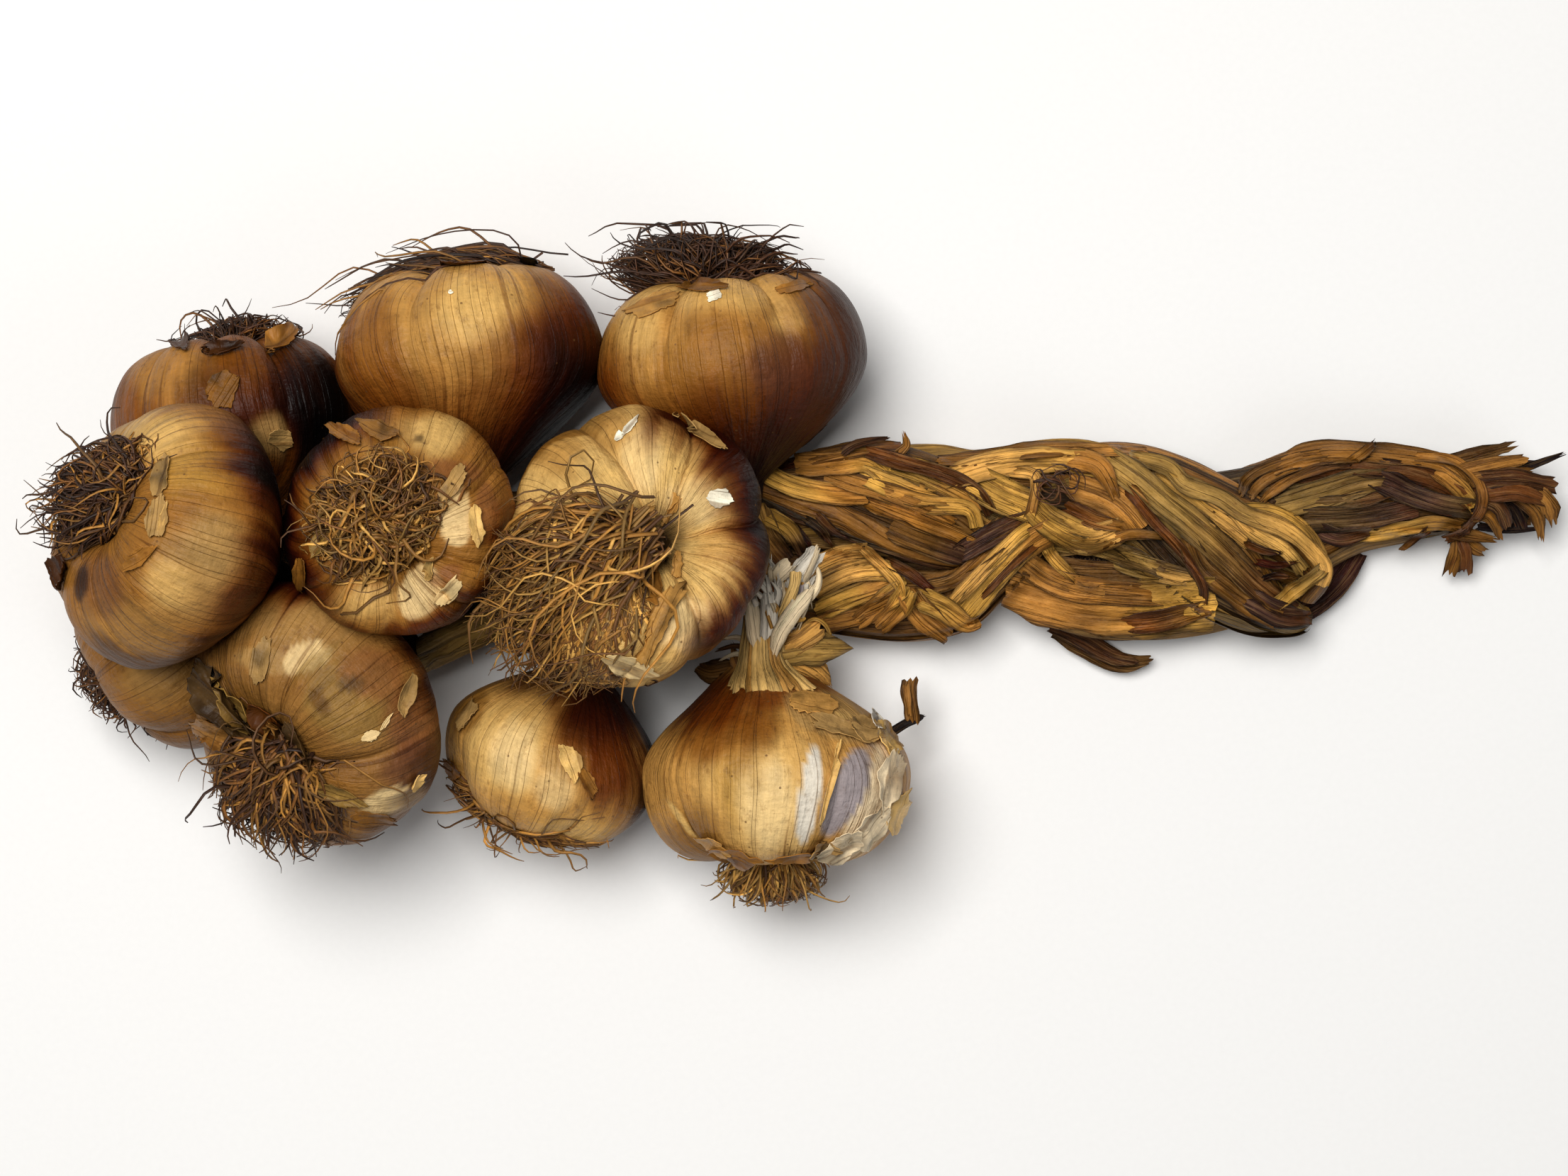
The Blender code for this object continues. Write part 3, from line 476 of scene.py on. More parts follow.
# A leaf lying on the plait: its tones at the start and at the tip, its half width, how far it
# stands off the strands under it, how much its edges and its tip curl up, how pointed it is,
# and the places that it passes, seen from above.
Leaf = namedtuple("Leaf", "tone tip half lift curl rise pointed places")
LEAVES = (
    # The left part, from its upper edge down.
    Leaf(OCHRE, UMBER, 2.2, 0.5, 0.3, 1, 0.4, ((6, 32), (20, 34.5), (30, 35))),
    Leaf(TAN, GOLD, 3.4, 0.6, 0.6, 0, 0.1, ((3, 30.5), (12, 30.5), (20, 31.5), (25, 28))),
    Leaf(GOLD, TAN, 3.4, 0.6, 0.3, 0, 0.2, ((23, 31.5), (33, 28.5), (43, 24), (49, 20))),
    Leaf(GOLD, TAN, 2.8, 0.9, 0.3, 0, 0.3, ((18, 28.5), (32, 23), (43, 22))),
    Leaf(SIENNA, UMBER, 2, 1.4, 0.5, 0, 0.3,
         ((20, 33.5), (30, 30.5), (39, 28), (47, 24), (51, 18))),
    Leaf(TAN, GOLD, 2.4, 1.3, 0.4, 0, 0.2,
         ((10, 28), (23, 24), (35, 20.5), (45, 19.5), (47.5, 15))),
    Leaf(GOLD, TAN, 2.6, 0.5, 0.2, 0, 0.1, ((-6, 29), (2, 25), (12, 23), (20, 23))),
    Leaf(ORANGE, OCHRE, 2.4, 0.9, 0.2, 0, 0.3, ((19, 22), (30, 17.5), (39, 14), (48, 10))),
    Leaf(TAN, ORANGE, 1.6, 1, 0.2, 0, 0.3, ((22, 24), (33, 20), (42, 16))),
    Leaf(STRAW, UMBER, 3.4, 1.6, 0.6, 0.5, 0.3, ((-7, 21), (-4.5, 13), (1, 6))),
    Leaf(GOLD, PLUM, 2.4, 2, 0.5, 1, 0.3, ((-5, 18), (1, 14.5), (4.5, 9))),
    Leaf(MAHOGANY, UMBER, 1.2, 1.5, 0.5, 1, 0.7, ((5, 17), (9, 14), (12, 10))),
    Leaf(UMBER, MAHOGANY, 1.1, 1.2, 0.5, 1, 0.7, ((8, 18), (12, 14), (16, 12))),
    Leaf(MAHOGANY, RUSSET, 0.9, 1.6, 0.3, 1, 0.8, ((3, 15), (6, 11), (7, 8))),
    Leaf(STRAW, STRAW, 2.6, 0.8, 0.4, 0, 0.1, ((6, 4), (13.5, 7.5), (20, 8.5))),
    Leaf(STRAW, GOLD, 3, 1, 0.4, 0, 0.2, ((7, -1), (15.5, 3.5), (24, 4.5), (30, 2))),
    Leaf(GOLD, TAN, 3, 0.8, 0.5, 0, 0.1, ((8, -6), (17, -2), (26, 1))),
    Leaf(TAN, OCHRE, 2.6, 0.6, 0.4, 0, 0.1, ((8, -9), (20, -6.5), (29, -2))),
    Leaf(STRAW, GOLD, 1.5, 1.9, 0.6, 0, 0.3, ((19, 10), (24, 5.5), (28, 1), (29, -3))),
    Leaf(TAN, GOLD, 2.8, 0.9, 0.6, 0, 0.2, ((18, -8.5), (25, -3), (30, 0.5))),
    Leaf(TAN, GOLD, 3, 1.2, 0.9, 1, 0.2, ((23, -10), (28, -5), (30.5, 0))),
    Leaf(TAN, OCHRE, 3.4, 1.2, 0.7, 0, 0.3, ((30, -1), (34.5, -7), (41, -12))),
    Leaf(GOLD, TAN, 2.8, 1.6, 0.7, 1, 0.4, ((32, -2), (39, -5), (45, -9), (49, -8))),
    Leaf(UMBER, RUSSET, 1.8, 2.8, 0.9, 0.5, 0.4, ((25.5, 6.5), (31, 3.5), (36, -0.5))),
    Leaf(OLIVE, OCHRE, 2, 1, 0.4, 0, 0.2, ((34, 0), (42, 2), (50, 9))),
    Leaf(OLIVE, PLUM, 3, 0.4, 0.2, 0, 0.3, ((26, 14.5), (33, 11.5), (40, 9), (47, 7))),
    # The strand that comes up across the middle.
    Leaf(PLUM, UMBER, 2.8, 1.2, 0.4, 0, 0.2, ((43, 8.5), (51, 13), (60, 17))),
    Leaf(OCHRE, OLIVE, 1.8, 1.2, 0.4, 0, 0.2, ((44, 5), (53, 11), (62, 16.5))),
    Leaf(STRAW, GOLD, 2, 1.6, 0.4, 0, 0.1, ((41, -4), (48.5, 4), (57, 12.5), (61, 15))),
    Leaf(GOLD, TAN, 3.2, 1.4, 0.5, 0, 0.1, ((44, -7), (52, 2.5), (60, 10.5), (66, 14))),
    Leaf(UMBER, SIENNA, 1, 1.9, 0.2, 0, 0.3, ((49, -2), (56, 5.5), (63.5, 11.5))),
    # The middle, from its upper edge down.
    Leaf(OCHRE, TAN, 2, 0.8, 0.3, 0, 0.2,
         ((38, 31.5), (47, 32), (61, 34), (77, 34), (90, 33.5))),
    Leaf(STRAW, GOLD, 3.3, 0.9, 0.4, 0, 0.2,
         ((39, 26.5), (50, 30), (61, 31.5), (72, 31), (79, 29.5))),
    Leaf(TAN, OCHRE, 2.8, 1.4, 0.5, 0.5, 0.6, ((69, 32), (77, 30), (81, 22))),
    Leaf(GOLD, GOLD, 4.8, 0.8, 0.6, 0, 0.1, ((46, 27), (53, 23), (61, 19.5))),
    Leaf(STRAW, TAN, 1.5, 2.4, 0.5, 0, 0.2, ((56, 28.5), (61.5, 27), (60, 17))),
    Leaf(TAN, TAN, 5.2, 0.7, 0.3, 0, 0.2, ((70, 26.5), (81, 22), (88, 15))),
    Leaf(GOLD, STRAW, 3.8, 1.7, 0.5, 0, 0.2, ((60, 21), (65.5, 16), (75, 12), (83, 14.5))),
    Leaf(SIENNA, OCHRE, 2, 2.2, 0.3, 0, 0.4, ((69, 20), (76, 16.5), (83, 15))),
    Leaf(GREY_TAN, GREY_BROWN, 2.5, 0.8, 0.4, 0, 0.1, ((66, 11.5), (79, 9.5), (94, 4))),
    Leaf(GREY_TAN, STRAW, 2.6, 0.9, 0.4, 0, 0.2, ((82, 7), (92, 4), (101, 2))),
    Leaf(OCHRE, OLIVE, 1.3, 1.6, 0.4, 0, 0.3, ((76, 9.5), (84, 13), (93, 12.5))),
    Leaf(TAN, GOLD, 6.6, 0.7, 0.5, 0, 0.1, ((55, 0), (66, -3), (78, -5.5), (94, -5), (106, -4))),
    Leaf(TAN, OCHRE, 3.4, 1.3, 0.6, 0, 0.2, ((58, 7), (68, 1), (80, -1), (94, -2))),
    Leaf(GOLD, OLIVE, 1.8, 1.6, 0.4, 0, 0.3, ((64, 11), (68, 6), (73, 1.5))),
    Leaf(SIENNA, OCHRE, 2.6, 1.4, 0.5, 0, 0.3, ((84, -9), (94, -8), (104, -5))),
    # The broad strand that crosses down to the right, and the pale ones beside it.
    Leaf(OLIVE, OCHRE, 3, 0.8, 0.4, 0, 0.2,
         ((98, 13), (102, 5), (108, 0), (117, -6), (122, -8))),
    Leaf(GREY_TAN, UMBER, 4, 1.3, 0.4, 0, 0.3,
         ((79, 32), (86, 27), (93, 21), (100, 15.5), (109, 7.5), (117, 0), (126, -6))),
    Leaf(SIENNA, UMBER, 1.4, 1.8, 0.3, 0, 0.3,
         ((83, 25), (90, 16.5), (97, 9), (102, 1), (103, -4))),
    Leaf(PLUM, UMBER, 3.2, 1.6, 0.5, 0, 0.4, ((114, -2.5), (122, -6.5), (130.5, -7.5))),
    Leaf(OLIVE, OLIVE, 2.2, 0.7, 0.3, 0, 0.2, ((104, 18), (113, 10), (120, 1), (122, -2))),
    Leaf(GOLD, STRAW, 2.4, 1.2, 0.4, 0, 0.1, ((92, 28), (99, 23), (107, 17), (115, 11))),
    Leaf(STRAW, GREY_TAN, 2.1, 1.5, 0.4, 0, 0.1,
         ((101, 24.5), (110, 19), (115, 14), (122.5, 9.5), (128, 4))),
    Leaf(GREY_TAN, STRAW, 2.3, 2, 0.5, 0, 0.1,
         ((85, 32.5), (94, 30), (98.5, 25.5), (107, 22), (113, 18), (121.5, 15), (128, 10.5),
          (133, 5), (132.5, 0.5))),
    Leaf(GOLD, STRAW, 1.7, 1.4, 0.3, 0, 0.1,
         ((112, 19.5), (120.5, 19), (128, 15), (132, 9.5), (133.5, 3))),
    Leaf(GREY_TAN, GOLD, 2, 2.2, 0.4, 0, 0.2, ((133, 5), (128, 1), (122, -3.5))),
    Leaf(UMBER, MAHOGANY, 0.9, 1.8, 0.4, 1, 0.7, ((113, 11), (118, 9), (123, 8.5))),
    Leaf(RUSSET, UMBER, 1, 1.8, 0.4, 1, 0.7, ((116, 6.5), (121, 5.5), (126, 6.5))),
    Leaf(MAHOGANY, UMBER, 0.9, 1.6, 0.4, 1, 0.7, ((117, 2), (121, 3), (125, 2.5))),
    # The tail.
    Leaf(OLIVE, OCHRE, 1.4, 0.6, 0.3, 0, 0.2, ((112, 23), (117, 28.5), (126, 32), (134, 33.5))),
    Leaf(TAN, OLIVE, 1.3, 0.9, 0.3, 0, 0.2, ((115, 22.5), (120, 27), (128, 30.5), (137, 32))),
    Leaf(OCHRE, UMBER, 1.3, 1.1, 0.3, 0, 0.2, ((118, 21.5), (124, 26), (132, 29.5), (140, 30.5))),
    Leaf(OCHRE, TAN, 3, 0.8, 0.4, 0, 0.2,
         ((121, 30), (132.5, 33.5), (146, 33.5), (159, 32), (167, 29), (171.5, 23.5))),
    Leaf(UMBER, SIENNA, 2.6, 0.9, 0.3, 0, 0.2, ((140, 30), (152, 29), (162, 26), (170, 21))),
    Leaf(OCHRE, UMBER, 1.4, 2.4, 0.5, 3, 0.5, ((140, 31.5), (143, 33.5), (146, 36))),
    Leaf(GREY_TAN, GREY_BROWN, 3.6, 0.9, 0.4, 0, 0.2,
         ((122, 20), (132.5, 23), (142, 26), (151, 27))),
    Leaf(GREY_BROWN, MAUVE, 3.2, 0.9, 0.4, 0, 0.2, ((128, 17), (138, 17), (147, 18), (156, 20))),
    Leaf(GREY_BROWN, UMBER, 2, 1.3, 0.4, 0.5, 0.4, ((132, 21), (141, 21.5), (150, 23.5))),
    Leaf(PLUM, GREY_BROWN, 3, 1.4, 0.5, 0, 0.2,
         ((146, 27), (155, 23), (163, 20.5), (171, 19.5))),
    Leaf(PLUM, UMBER, 2.2, 1, 0.5, 0.5, 0.4, ((132, 14.5), (138, 12.5), (145, 14))),
    Leaf(GOLD, OCHRE, 2, 0.9, 0.4, 0, 0.2, ((143, 13), (152.5, 14.5), (161, 16), (168, 15))),
    Leaf(TAN, GOLD, 2.2, 1.2, 0.4, 0, 0.3, ((160, 29.5), (167, 24.5), (171, 20))),
    Leaf(TAN, SIENNA, 1.5, 2, 0.5, 0, 0.1,
         ((156, 32.5), (166, 31.5), (171.5, 26.5), (172.5, 20), (169.5, 15), (165, 12))),
    Leaf(SIENNA, OCHRE, 1.1, 1.5, 0.4, 1, 0.4, ((160, 15), (157, 12), (154, 9.5))),
)

# A tuft of roots: its cushion (centre, half lengths along, across and up, azimuth, tilt), where
# its roots leave the bulb, which way they go and how far to each side of that (degrees), how
# far they turn along their way, how many there are, their lengths, how strongly they are
# combed, how much they curl and sag, the share that strays out of the cushion, their tones, and
# half the width of a typical one.
Tuft = namedtuple(
    "Tuft",
    "x y z along across up azimuth tilt origin bearing fan bend roots length comb curl sag"
    " stray tones half",
)
TUFTS = {
    "roots_01": Tuft(-131, 61, 29, 16, 5.5, 9, 8, 0, (-134, 57, 30), 95, 85, 0, 260, (8, 24),
                     0.1, 0.4, 0, 0.12, (ROOT_DARK, ROOT_DARK, ROOT_BROWN), 0.4),
    "roots_02": Tuft(-160, 20, 75, 21, 11, 8, 212, 8, (-152, 22, 76), 205, 130, 0, 760,
                     (10, 30), 0.16, 0.5, 0.2, 0.04,
                     (ROOT_DARK, ROOT_DARK, ROOT_BROWN, ROOT_TAN), 0.46),
    "roots_03": Tuft(-166, -24, 24, 8, 13, 10, 215, 0, (-161, -20, 24), 215, 80, 0, 240, (8, 24),
                     0.1, 0.5, 0.1, 0.1, (ROOT_DARK, ROOT_DARK, ROOT_BROWN), 0.42),
    "roots_04": Tuft(-120, -50, 53, 22, 18, 11, 225, 38, (-117, -40, 60), 245, 90, 0, 740,
                     (12, 34), 0.2, 0.4, 0.4, 0.05,
                     (ROOT_DARK, ROOT_BROWN, ROOT_BROWN, ROOT_TAN), 0.52),
    "roots_05": Tuft(-82, 74.5, 31, 30, 7, 10, 195, 0, (-68, 75, 33), 176, 50, 15, 560, (18, 52),
                     0.4, 0.25, 0, 0.06, (ROOT_DARK, ROOT_DARK, ROOT_BROWN, ROOT_TAN), 0.42),
    "roots_06": Tuft(-19, 77.5, 34, 26, 8, 12, 176, 0, (-19, 73, 34), 90, 120, 0, 640, (16, 36),
                     0.3, 0.4, 0, 0.08, (ROOT_DARK, ROOT_DARK, ROOT_BROWN), 0.42),
    "roots_07": Tuft(-94, 17, 81, 19, 15, 8, 220, 6, (-93, 15, 79), 60, 180, 0, 680, (10, 30),
                     0.1, 0.45, 0.3, 0.06, (ROOT_TAN, ROOT_PALE, ROOT_TAN, ROOT_BROWN), 0.54),
    "roots_08": Tuft(-53, -5, 75, 30, 20, 10, 243, 24, (-35, 9.5, 80), 214, 58, 32, 1000,
                     (24, 56), 0.32, 0.36, 0.3, 0.05,
                     (ROOT_BROWN, ROOT_TAN, ROOT_TAN, ROOT_PALE), 0.52),
    "roots_09": Tuft(-63, -54, 30, 20, 7, 9, 338, 0, (-66, -52, 31), 270, 110, 30, 520, (8, 30),
                     0.2, 0.35, 0, 0.1, (ROOT_BROWN, ROOT_TAN, ROOT_TAN), 0.42),
    "roots_10": Tuft(-3, -68, 30, 14, 9, 10, 0, 0, (-3, -62, 33), 268, 60, 0, 560, (8, 27),
                     0.3, 0.4, 0.1, 0.05, (ROOT_TAN, ROOT_PALE, ROOT_BROWN, ROOT_PALE), 0.48),
}

# The tangle of rootlets that lies on the plait.
ROOTLETS = Tuft(66.5, 25, 31, 7, 5.6, 1.6, 0, 0, (66.5, 25, 31), 0, 180, 0, 13, (12, 22),
                0.02, 0.6, 0.2, 0, (ROOT_DARK, SIENNA, ROOT_BROWN), 0.36)

# Where the random draws of each kind start.
ROOT_SEED = 100
STRAND_SEED = 300
LEAF_SEED = 700
RIB_SEED = 8
SLIVER_SEED = 21
ROOTLET_SEED = 64

# ---------------------------------------------------------------- arrays and noise


def noise(points, scale, seed=0):
    """Smooth noise from -1 to 1 at an array of points, with features scale apart."""
    spots = np.asarray(points, float) / scale + seed * 17.31
    cell = np.floor(spots).astype(np.int64)
    share = spots - cell
    ease = share * share * (3 - 2 * share)
    total = np.zeros(spots.shape[:-1])
    for corner in itertools.product((0, 1), repeat=3):
        key = cell + corner
        mixed = key[..., 0] * 73856093 ^ key[..., 1] * 19349663 ^ key[..., 2] * 83492791
        mixed = (mixed ^ (mixed >> 13)) * 1274126177 & 0xFFFFFF
        mixed = (mixed ^ (mixed >> 9)) * 668265263 & 0xFFFFFF
        value = mixed / 0x7FFFFF - 1
        total += value * np.prod(np.where(corner, ease, 1 - ease), axis=-1)
    return total


def rough_noise(points, scale, seed=0, octaves=3):
    """Noise with finer noise over it, from -1 to 1."""
    return sum(
        noise(points, scale / 2**i, seed + i) / 2**i for i in range(octaves)
    ) / (2 - 0.5 ** (octaves - 1))


def waver(values, scale, seed, lane=0):
    """Noise along a row of numbers. Another lane gives another row."""
    spots = np.zeros((*values.shape, 3))
    spots[..., 0] = values
    spots[..., 2] = lane
    return noise(spots, scale, seed)


def smoothstep(low, high, value):
    """0 up to low, 1 from high on, and an eased rise between them."""
    share = np.clip((value - low) / (high - low), 0, 1)
    return share * share * (3 - 2 * share)


def unit(vectors):
    """Vectors of length 1 along the given ones."""
    return vectors / np.maximum(np.linalg.norm(vectors, axis=-1, keepdims=True), 1e-9)


def lengths_along(places):
    """How far each place is along the line through them all."""
    steps = np.linalg.norm(np.diff(places, axis=0), axis=1)
    return np.concatenate(((0,), np.cumsum(steps)))


def layout_shift():
    """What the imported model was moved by, from the box of a node that nothing cuts."""
    low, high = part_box("bulb_02")
    middle = np.array((low + high) / 2) / MM
    return np.array((middle[0], middle[1], 0)) - BULB_02_MIDDLE


SHIFT = layout_shift()


def place(points):
    """Layout millimetres to metres in the model's frame, never below the table."""
    moved = points + SHIFT
    moved[..., 2] = np.maximum(moved[..., 2], 0)
    return moved * MM


class Pile:
    """Gathers many small grids of points into one mesh, with a tone and a grain at each point.

    The grain is a coordinate in millimetres whose third number runs along the fibres.
    """

    def __init__(self):
        self.points = []
        self.tones = []
        self.grains = []
        self.faces = []
        self.count = 0

    def add_grid(self, points, tones, grains, closed=False):
        """A grid of rows and columns. closed joins its last column to its first."""
        rows, columns = points.shape[:2]
        index = np.arange(rows * columns).reshape(rows, columns) + self.count
        if closed:
            index = np.concatenate((index, index[:, :1]), axis=1)
        quads = np.stack((index[:-1, :-1], index[1:, :-1], index[1:, 1:], index[:-1, 1:]), -1)
        self.points.append(points.reshape(-1, 3))
        self.tones.append(np.broadcast_to(tones, points.shape).reshape(-1, 3))
        self.grains.append(np.broadcast_to(grains, points.shape).reshape(-1, 3))
        self.faces.append(quads.reshape(-1, 4))
        self.count += rows * columns

    def add_sheet(self, over, under, tones, grains, axis):
        """A thin leaf: its upper side and its lower side, joined at their edges along axis."""
        sides = ((over, under), (tones, tones), (grains, grains))
        both = [np.concatenate((upper, np.flip(lower, axis)), axis) for upper, lower in sides]
        self.add_grid(*both, closed=True)

    def add_pile(self, other):
        """Adds everything that another pile has gathered."""
        self.points += other.points
        self.tones += other.tones
        self.grains += other.grains
        self.faces += [faces + self.count for faces in other.faces]
        self.count += other.count

    def surface(self):
        """The gathered surface in the layout, for finding points on it."""
        points = np.concatenate(self.points).tolist()
        return BVHTree.FromPolygons(points, np.concatenate(self.faces).tolist())

    def build(self, name, material, slot, *nodes):
        """Makes the piece, rides it on the braid and replaces the given nodes by it."""
        points = place(np.concatenate(self.points))
        faces = np.concatenate(self.faces).astype(np.int32)
        mesh = bpy.data.meshes.new(name)
        mesh.vertices.add(len(points))
        mesh.vertices.foreach_set("co", points.ravel())
        mesh.loops.add(faces.size)
        mesh.loops.foreach_set("vertex_index", faces.ravel())
        mesh.polygons.add(len(faces))
        mesh.polygons.foreach_set("loop_start", np.arange(0, faces.size, 4, dtype=np.int32))
        mesh.update(calc_edges=True)
        mesh.validate()
        mesh.shade_smooth()
        tone = mesh.attributes.new("tone", "FLOAT_COLOR", "POINT")
        colours = np.clip(TONE_GAIN * np.concatenate(self.tones), 0, 1) ** RICHNESS
        tone.data.foreach_set("color", np.c_[colours, np.ones(len(colours))].ravel())
        grain = mesh.attributes.new("grain", "FLOAT_VECTOR", "POINT")
        grain.data.foreach_set("vector", np.concatenate(self.grains).ravel())
        mesh.materials.append(material)
        piece = bpy.data.objects.new(name, mesh)
        bpy.context.scene.collection.objects.link(piece)
        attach(piece, "root")
        if nodes:
            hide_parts(*nodes)
        return piece


# ---------------------------------------------------------------- materials


class Finish:
    """A node material, built one node at a time."""

    def __init__(self, name, roughness, specular=0.5):
        self.material = bpy.data.materials.new(name)
        self.material.use_nodes = True
        self.tree = self.material.node_tree
        self.shader = self.tree.nodes["Principled BSDF"]
        self.shader.inputs["Roughness"].default_value = roughness
        self.shader.inputs["Specular IOR Level"].default_value = specular

    def give(self, socket, value):
        """Sets an input to a number or a colour, or links it to another node's socket."""
        if isinstance(value, bpy.types.NodeSocket):
            self.tree.links.new(value, socket)
        else:
            socket.default_value = value

    def node(self, kind, inputs, **settings):
        """Adds a node with the given inputs."""
        node = self.tree.nodes.new(kind)
        for name, value in settings.items():
            setattr(node, name, value)
        for name, value in inputs.items():
            self.give(node.inputs[name], value)
        return node

    def attribute(self, name, output):
        return self.node("ShaderNodeAttribute", {}, attribute_name=name).outputs[output]

    def place(self):
        """The point's own place on the braid, in millimetres."""
        spot = self.node("ShaderNodeTexCoord", {}).outputs["Object"]
        return self.stretched(spot, (1 / MM, 1 / MM, 1 / MM))

    def stretched(self, vector, scale):
        inputs = {"Vector": vector, "Scale": scale}
        return self.node("ShaderNodeMapping", inputs).outputs["Vector"]

    def noise(self, vector, scale, detail=2.0, roughness=0.5):
        inputs = {"Vector": vector, "Scale": scale, "Detail": detail, "Roughness": roughness}
        return self.node("ShaderNodeTexNoise", inputs).outputs["Fac"]

    def streaks(self, grain, along, scale, detail=2.0, roughness=0.5):
        """Noise drawn out along the fibres: the less along is, the longer it is."""
        return self.noise(self.stretched(grain, (1, 1, along)), scale, detail, roughness)

    def remap(self, value, low, high, to_low=0.0, to_high=1.0):
        inputs = {"Value": value, "From Min": low, "From Max": high}
        inputs.update({"To Min": to_low, "To Max": to_high})
        return self.node("ShaderNodeMapRange", inputs).outputs["Result"]

    def maths(self, operation, first, second=0.0):
        return self.node("ShaderNodeMath", {0: first, 1: second}, operation=operation).outputs[0]

    def lines(self, fac, width):
        """1 along the lines where a noise crosses its middle, 0 away from them."""
        off_middle = self.maths("ABSOLUTE", self.maths("SUBTRACT", fac, 0.5))
        return self.remap(off_middle, 0.0, width, 1.0, 0.0)

    def mixed(self, factor, first, second, blend="MIX"):
        inputs = {0: factor, 6: first, 7: second}
        node = self.node("ShaderNodeMix", {}, data_type="RGBA", blend_type=blend)
        for number, value in inputs.items():
            self.give(node.inputs[number], value)
        return node.outputs[2]

    def shaded(self, colour, pattern, dark, pale, low=0.3, high=0.7):
        """The colour times dark where a pattern is low, and times pale where it is high."""
        value = self.remap(pattern, low, high, dark, pale)
        grey = self.node("ShaderNodeCombineColor", {0: value, 1: value, 2: value}).outputs[0]
        return self.mixed(1.0, colour, grey, "MULTIPLY")

    def finish(self, colour, *bumps):
        """Gives the material its colour and its bumps, each a pattern and a height in mm."""
        self.give(self.shader.inputs["Base Color"], colour)
        normal = {}
        for pattern, height in bumps:
            inputs = {"Height": pattern, "Distance": height * MM, "Strength": 1.0, **normal}
            normal = {"Normal": self.node("ShaderNodeBump", inputs).outputs["Normal"]}
        self.give(self.shader.inputs["Normal"], normal["Normal"])
        return self.material


def rgba(tone):
    """An sRGB tone as a shader's colour, opaque."""
    return (*linear(tone), 1)


def skin_material():
    """Papery garlic skin: fine fibres from root to neck, thin veins, blotches and specks."""
    finish = Finish("garlic_skin", 0.45, 0.16)
    grain = finish.attribute("grain", "Vector")
    spot = finish.place()

    fibre = finish.streaks(grain, 0.06, 1.5, 4.0, 0.65)
    band = finish.streaks(grain, 0.05, 0.42, 3.0, 0.6)
    vein = finish.lines(finish.streaks(grain, 0.012, 0.26, 1.0), 0.012)
    blotch = finish.noise(spot, 0.11, 5.0, 0.6)
    mottle = finish.streaks(grain, 0.7, 0.5, 6.0, 0.72)
    crinkle = finish.streaks(grain, 0.6, 0.45, 3.0, 0.55)
    wrinkle = finish.noise(finish.stretched(grain, (0.3, 0.3, 1)), 1.0, 3.0, 0.6)
    cells = finish.node("ShaderNodeTexVoronoi", {"Vector": spot, "Scale": 0.22})

    colour = finish.shaded(finish.attribute("tone", "Color"), fibre, 0.9, 1.08)
    colour = finish.shaded(colour, wrinkle, 0.92, 1.07)
    colour = finish.shaded(colour, band, 0.84, 1.13)
    colour = finish.shaded(colour, blotch, 0.8, 1.14)
    stain = finish.remap(mottle, 0.55, 0.7, 0.0, 0.5)
    for share in (stain, finish.maths("MULTIPLY", vein, 0.6)):
        colour = finish.mixed(share, colour, rgba(OCHRE), "MULTIPLY")
    speck = finish.remap(cells.outputs["Distance"], 0.045, 0.085, 0.75, 0.0)
    colour = finish.mixed(speck, colour, rgba(UMBER))
    return finish.finish(
        colour, (crinkle, 0.7), (wrinkle, 0.22), (band, 0.5), (fibre, 0.16), (vein, 0.1)
    )


def leaf_material(name, wear_and_shading):
    """Dried garlic leaf: long fibres, dark lines between them and weathered blotches, with paler
    fibres that are partly painted highlight, and painted shade in its creases.

    The second argument is how strongly these change its tone.
    """
    finish = Finish(name, 0.5, 0.2)
    grain = finish.attribute("grain", "Vector")
    fibre = finish.streaks(grain, 0.035, 1.9, 4.0, 0.65)
    line = finish.lines(finish.streaks(grain, 0.025, 0.7), 0.035)
    blotch = finish.streaks(grain, 0.3, 0.2, 4.0, 0.6)
    fleck = finish.streaks(grain, 0.25, 1.1, 3.0, 0.6)
    crease = finish.streaks(grain, 0.35, 0.42, 4.0, 0.62)

    dark = 1 - 0.28 * wear_and_shading
    colour = finish.shaded(finish.attribute("tone", "Color"), fibre, dark, 1 + 0.55 * wear_and_shading)
    # Paler fibres are mixed towards BEIGE: partly the fibres' own colour, partly painted
    # highlight.
    colour = finish.mixed(finish.remap(fibre, 0.5, 0.75, 0.0, 0.35 * wear_and_shading), colour, rgba(BEIGE))
    colour = finish.shaded(colour, blotch, dark, 1 + 0.2 * wear_and_shading)
    # Painted shade and light: darker in the creases and paler on their ridges, along the crease
    # bump.
    colour = finish.shaded(colour, crease, 1 - 0.16 * wear_and_shading, 1 + 0.16 * wear_and_shading, 0.34, 0.66)
    line_share = finish.maths("MULTIPLY", line, 0.6 * wear_and_shading)
    colour = finish.mixed(line_share, colour, rgba(UMBER), "MULTIPLY")
    colour = finish.mixed(finish.remap(fleck, 0.6, 0.7, 0.0, 0.5 * wear_and_shading), colour, rgba(RUSSET))
    return finish.finish(colour, (blotch, 1.0), (crease, 0.9), (fibre, 0.6), (line, 0.2))


def root_material():
    """Dry, matt roots, a little uneven in tone."""
    finish = Finish("dried_root", 0.62)
    patch = finish.noise(finish.attribute("grain", "Vector"), 0.5, 3.0, 0.6)
    colour = finish.shaded(finish.attribute("tone", "Color"), patch, 0.65, 1.35)
    return finish.finish(colour, (patch, 0.15))


def floor_material():
    """The pale ground of the photo."""
    finish = Finish("pale_floor", 0.85)
    grit = finish.noise(finish.place(), 0.6)
    colour = finish.mixed(grit, (0.86, 0.86, 0.855, 1), (0.89, 0.89, 0.885, 1))
    return finish.finish(colour, (grit, 0.02))


# ---------------------------------------------------------------- bulbs

